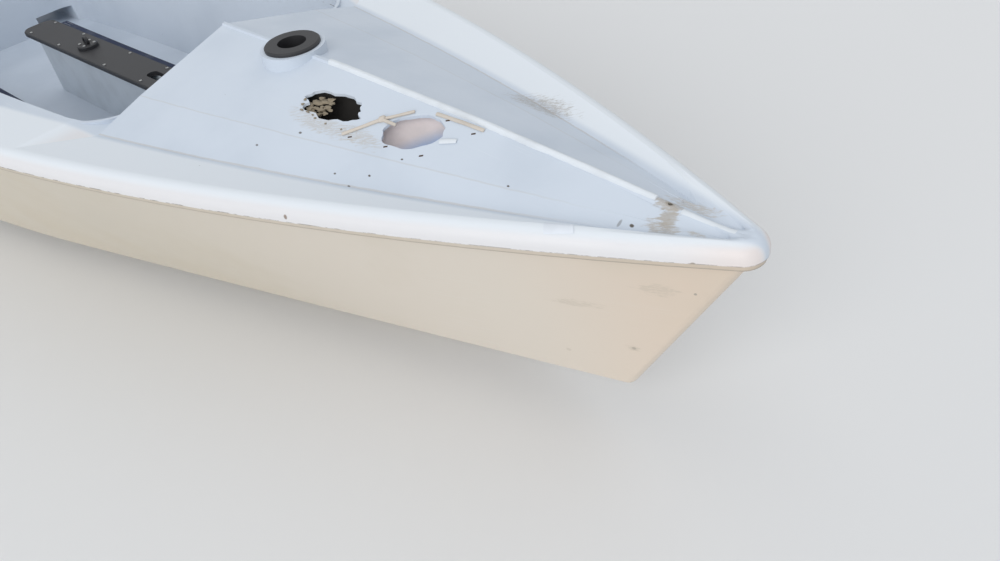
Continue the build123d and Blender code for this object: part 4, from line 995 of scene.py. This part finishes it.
def make_sticker(deck):
    """A blank paper label laid over the rolled edge, curling at its forward end."""
    bpy.ops.mesh.primitive_grid_add(x_subdivisions=24, y_subdivisions=12, size=2)
    label = bpy.context.object
    first, second, third, fourth = [Vector(corner) for corner in STICKER]
    for vertex in label.data.vertices:
        along, across = (vertex.co.x + 1) / 2, (1 - vertex.co.y) / 2
        place = first.lerp(second, along).lerp(fourth.lerp(third, along), across)
        curl = STICKER_CURL * max(0.0, along - STICKER_CURL_START) / (1 - STICKER_CURL_START)
        vertex.co = (*place, STICKER_LIFT + curl)
    lay(label, deck)
    apply_modifier(label, "SOLIDIFY", thickness=STICKER_THICKNESS, offset=1.0)
    fit(label, "blank_sticker", FINISHES["sticker_paper"], "hull", 50)


def make_crumbs():
    """Flat, uneven lumps: the big ones lie in the ragged hole, the small ones on the deck."""
    crumbs = []
    for x, y, size in CRUMBS:
        bpy.ops.mesh.primitive_ico_sphere_add(subdivisions=2, radius=size)
        crumb = bpy.context.object
        for vertex in crumb.data.vertices:
            vertex.co *= 1 + 0.9 * noise_value(vertex.co * 260 + Vector((x * 90, y * 90, 0)))
            vertex.co.z *= CRUMB_FLATNESS
            vertex.co.x *= CRUMB_STRETCH
        rise = -CRUMB_SUNK if size > CRUMB_SUNK_SIZE else CRUMB_LIFT
        crumb.location = (x, y, panel_height(x, y) + rise)
        settle(crumb)
        crumbs.append(crumb)
    fit(joined(crumbs), "earth_crumbs", FINISHES["dry_earth"], "hull", 60)


def make_strap(side, webbing):
    """A woven toe strap that sags between its posts and lies higher where it is sewn back."""
    node = f"toe_strap_{side}"
    low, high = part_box(node)
    length, width, thickness = high - low
    bpy.ops.mesh.primitive_cube_add(size=1)
    strap = bpy.context.object
    open_edit(strap)
    cut_across([step / STRAP_CUTS - 0.5 for step in range(1, STRAP_CUTS)], (1, 0, 0))
    cut_across(STRAP_LENGTHWISE_CUTS, (0, 1, 0))
    close_edit()
    strap.scale = (length, width, thickness * STRAP_THICKNESS)
    settle(strap)
    for vertex in strap.data.vertices:
        share = abs(vertex.co.x) / (length / 2)
        sag = -STRAP_SAG * max(0.0, 1 - (share / STRAP_SAG_END) ** 2)
        edge = abs(vertex.co.y) / (width / 2)
        vertex.co.z = vertex.co.z * (1 - STRAP_THIN_EDGE * edge ** 4) + sag
        vertex.co.y *= 1 - STRAP_WAIST * max(0.0, 1 - share ** 2)
        if share > STRAP_SEWN_FROM:
            vertex.co.z += STRAP_SEWN_RISE
    strap.location = (low + high) / 2
    settle(strap)
    round_edges(strap, 0.0006, 50)
    fit(strap, f"webbing_{side}", webbing, "hull", 45)
    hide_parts(node)


def make_stitches(side):
    """Rows of stitches near both ends of a toe strap."""
    low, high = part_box(f"toe_strap_{side}")
    middle = (low.y + high.y) / 2
    bpy.ops.mesh.primitive_cube_add(size=1)
    stitch = bpy.context.object
    stitch.scale = STITCH_SIZE
    settle(stitch)
    apply_modifier(stitch, "BEVEL", width=0.0003, segments=2)
    stitches = []
    for start in (low.x + STITCH_MARGIN_BACK, high.x - STITCH_MARGIN_FRONT):
        for row in STITCH_ROWS:
            for step in range(STITCHES_IN_ROW):
                twin = copied(stitch)
                twin.location = (start + step * STITCH_STEP, middle + row, high.z + STITCH_LIFT)
                stitches.append(twin)
    bpy.data.objects.remove(stitch)
    seam = joined(stitches)
    settle(seam)
    fit(seam, f"stitches_{side}", FINISHES["thread"], "hull", 45)


def screw_head():
    """A cross-slotted pan head, 9 mm across, standing on z = 0."""
    bpy.ops.mesh.primitive_cylinder_add(vertices=24, radius=SCREW_RADIUS, depth=SCREW_HEAD,
                                        location=(0, 0, SCREW_HEAD / 2))
    head = bpy.context.object
    settle(head)
    open_edit(head)
    pick_faces(head, lambda centre, normal: normal.z > 0.9)
    bpy.ops.mesh.inset(thickness=SCREW_DOME_INSET)
    bpy.ops.transform.translate(value=(0, 0, SCREW_DOME))
    close_edit()
    for turn in (0, 90):
        bpy.ops.mesh.primitive_cube_add(size=1, location=(0, 0, SCREW_SLOT_MIDDLE))
        blade = bpy.context.object
        blade.scale = SCREW_SLOT
        blade.rotation_euler = (0, 0, radians(turn))
        settle(blade)
        cut_out(head, blade)
    round_edges(head, 0.0002, 35)
    return head


def seat(carrier, start, heading):
    """Where a line from the start meets the carrier, and which way that face looks."""
    found, point, normal, _ = carrier.ray_cast(Vector(start), Vector(heading))
    if not found:
        raise ValueError(f"nothing of {carrier.name} lies at {tuple(start)}")
    return point, normal


def make_screws():
    head = screw_head()
    for carrier, starts, heading in SCREWS:
        heads = []
        for start in starts:
            point, normal = seat(NODES[carrier], start, heading)
            twin = copied(head)
            twin.rotation_mode = "QUATERNION"
            twin.rotation_quaternion = Vector((0, 0, 1)).rotation_difference(normal)
            twin.location = point - normal * SCREW_SUNK
            settle(twin)
            heads.append(twin)
        fit(joined(heads), f"{carrier}_screws", FINISHES["stainless_steel"], "hull", 40)
    bpy.data.objects.remove(head)


FINISHES = {}
for name, colour, roughness, metallic, grain_depth, nodes in PLAIN_FINISHES:
    FINISHES[name] = make_plain_finish(name, colour, roughness, metallic, grain_depth)
    paint(FINISHES[name], *nodes)
paint(make_hull_finish(), "hull")
paint(make_extension_finish(), "tiller_extension")

DECK_FINISH = make_deck_finish()
paint(DECK_FINISH, "deck")
DECK = make_deck(DECK_FINISH)
make_bowl("core_hollow", "hatch_hole", CORE_HOLLOW_REACH, make_core_finish())
# The hollow under the ragged hole is painted near black as shade
make_bowl("shade_painted_hollow", "ragged_hole", DARK_HOLLOW_REACH, FINISHES["shade_painted_hollow"])
make_strips(DECK)
make_rod_knot(DECK)
make_slots(DECK)
make_sticker(DECK)
make_crumbs()
WEBBING = make_webbing_finish()
for side in ("starboard", "port"):
    make_strap(side, WEBBING)
    make_stitches(side)
make_screws()


def make_stage():
    """A wide, plain, pale floor."""
    bpy.ops.object.select_all(action="DESELECT")
    bpy.ops.mesh.primitive_plane_add(size=FLOOR_SIZE, location=(0, 0, -FLOOR_GAP))
    floor = bpy.context.object
    floor.name = "floor"
    material, _, shader = new_material("floor_paper", 0.9)
    shader.inputs["Base Color"].default_value = (*FLOOR_PALE, 1)
    floor.data.materials.append(material)


def add_lamp(name, place, strength, spread, colour):
    """A broad far lamp that shines from its place towards the boat."""
    data = bpy.data.lights.new(name, "SUN")
    data.energy = strength
    data.angle = radians(spread)
    data.color = colour
    lamp = bpy.data.objects.new(name, data)
    bpy.context.scene.collection.objects.link(lamp)
    lamp.location = place
    lamp.rotation_euler = (-Vector(place)).to_track_quat("-Z", "Y").to_euler()


def make_world():
    """Soft light from all round, shown in a tone like the floor's."""
    world = bpy.data.worlds.new("studio")
    bpy.context.scene.world = world
    world.use_nodes = True
    tree = world.node_tree
    light = tree.nodes["Background"]
    light.inputs["Color"].default_value = (*SKY_LIGHT, 1)
    light.inputs["Strength"].default_value = SKY_STRENGTH
    shown = tree.nodes.new("ShaderNodeBackground")
    shown.inputs["Color"].default_value = (*SKY_SHOWN, 1)
    path = tree.nodes.new("ShaderNodeLightPath")
    seen = math_node(tree, "MAXIMUM", path.outputs["Is Camera Ray"], math_node(
        tree, "MAXIMUM", path.outputs["Is Glossy Ray"], path.outputs["Is Transmission Ray"]))
    choice = tree.nodes.new("ShaderNodeMixShader")
    tree.links.new(seen, choice.inputs[0])
    tree.links.new(light.outputs[0], choice.inputs[1])
    tree.links.new(shown.outputs[0], choice.inputs[2])
    tree.links.new(choice.outputs[0], tree.nodes["World Output"].inputs["Surface"])
    bpy.context.scene.view_settings.view_transform = "Standard"


def make_camera():
    data = bpy.data.cameras.new("camera")
    data.lens = CAMERA_LENS
    data.sensor_width = CAMERA_SENSOR
    data.sensor_fit = "HORIZONTAL"
    camera = bpy.data.objects.new("camera", data)
    bpy.context.scene.collection.objects.link(camera)
    camera.location = CAMERA_PLACE
    camera.rotation_euler = [radians(turn) for turn in CAMERA_TURN]
    bpy.context.scene.camera = camera


make_stage()
make_world()
make_camera()
for lamp in LAMPS:
    add_lamp(*lamp)
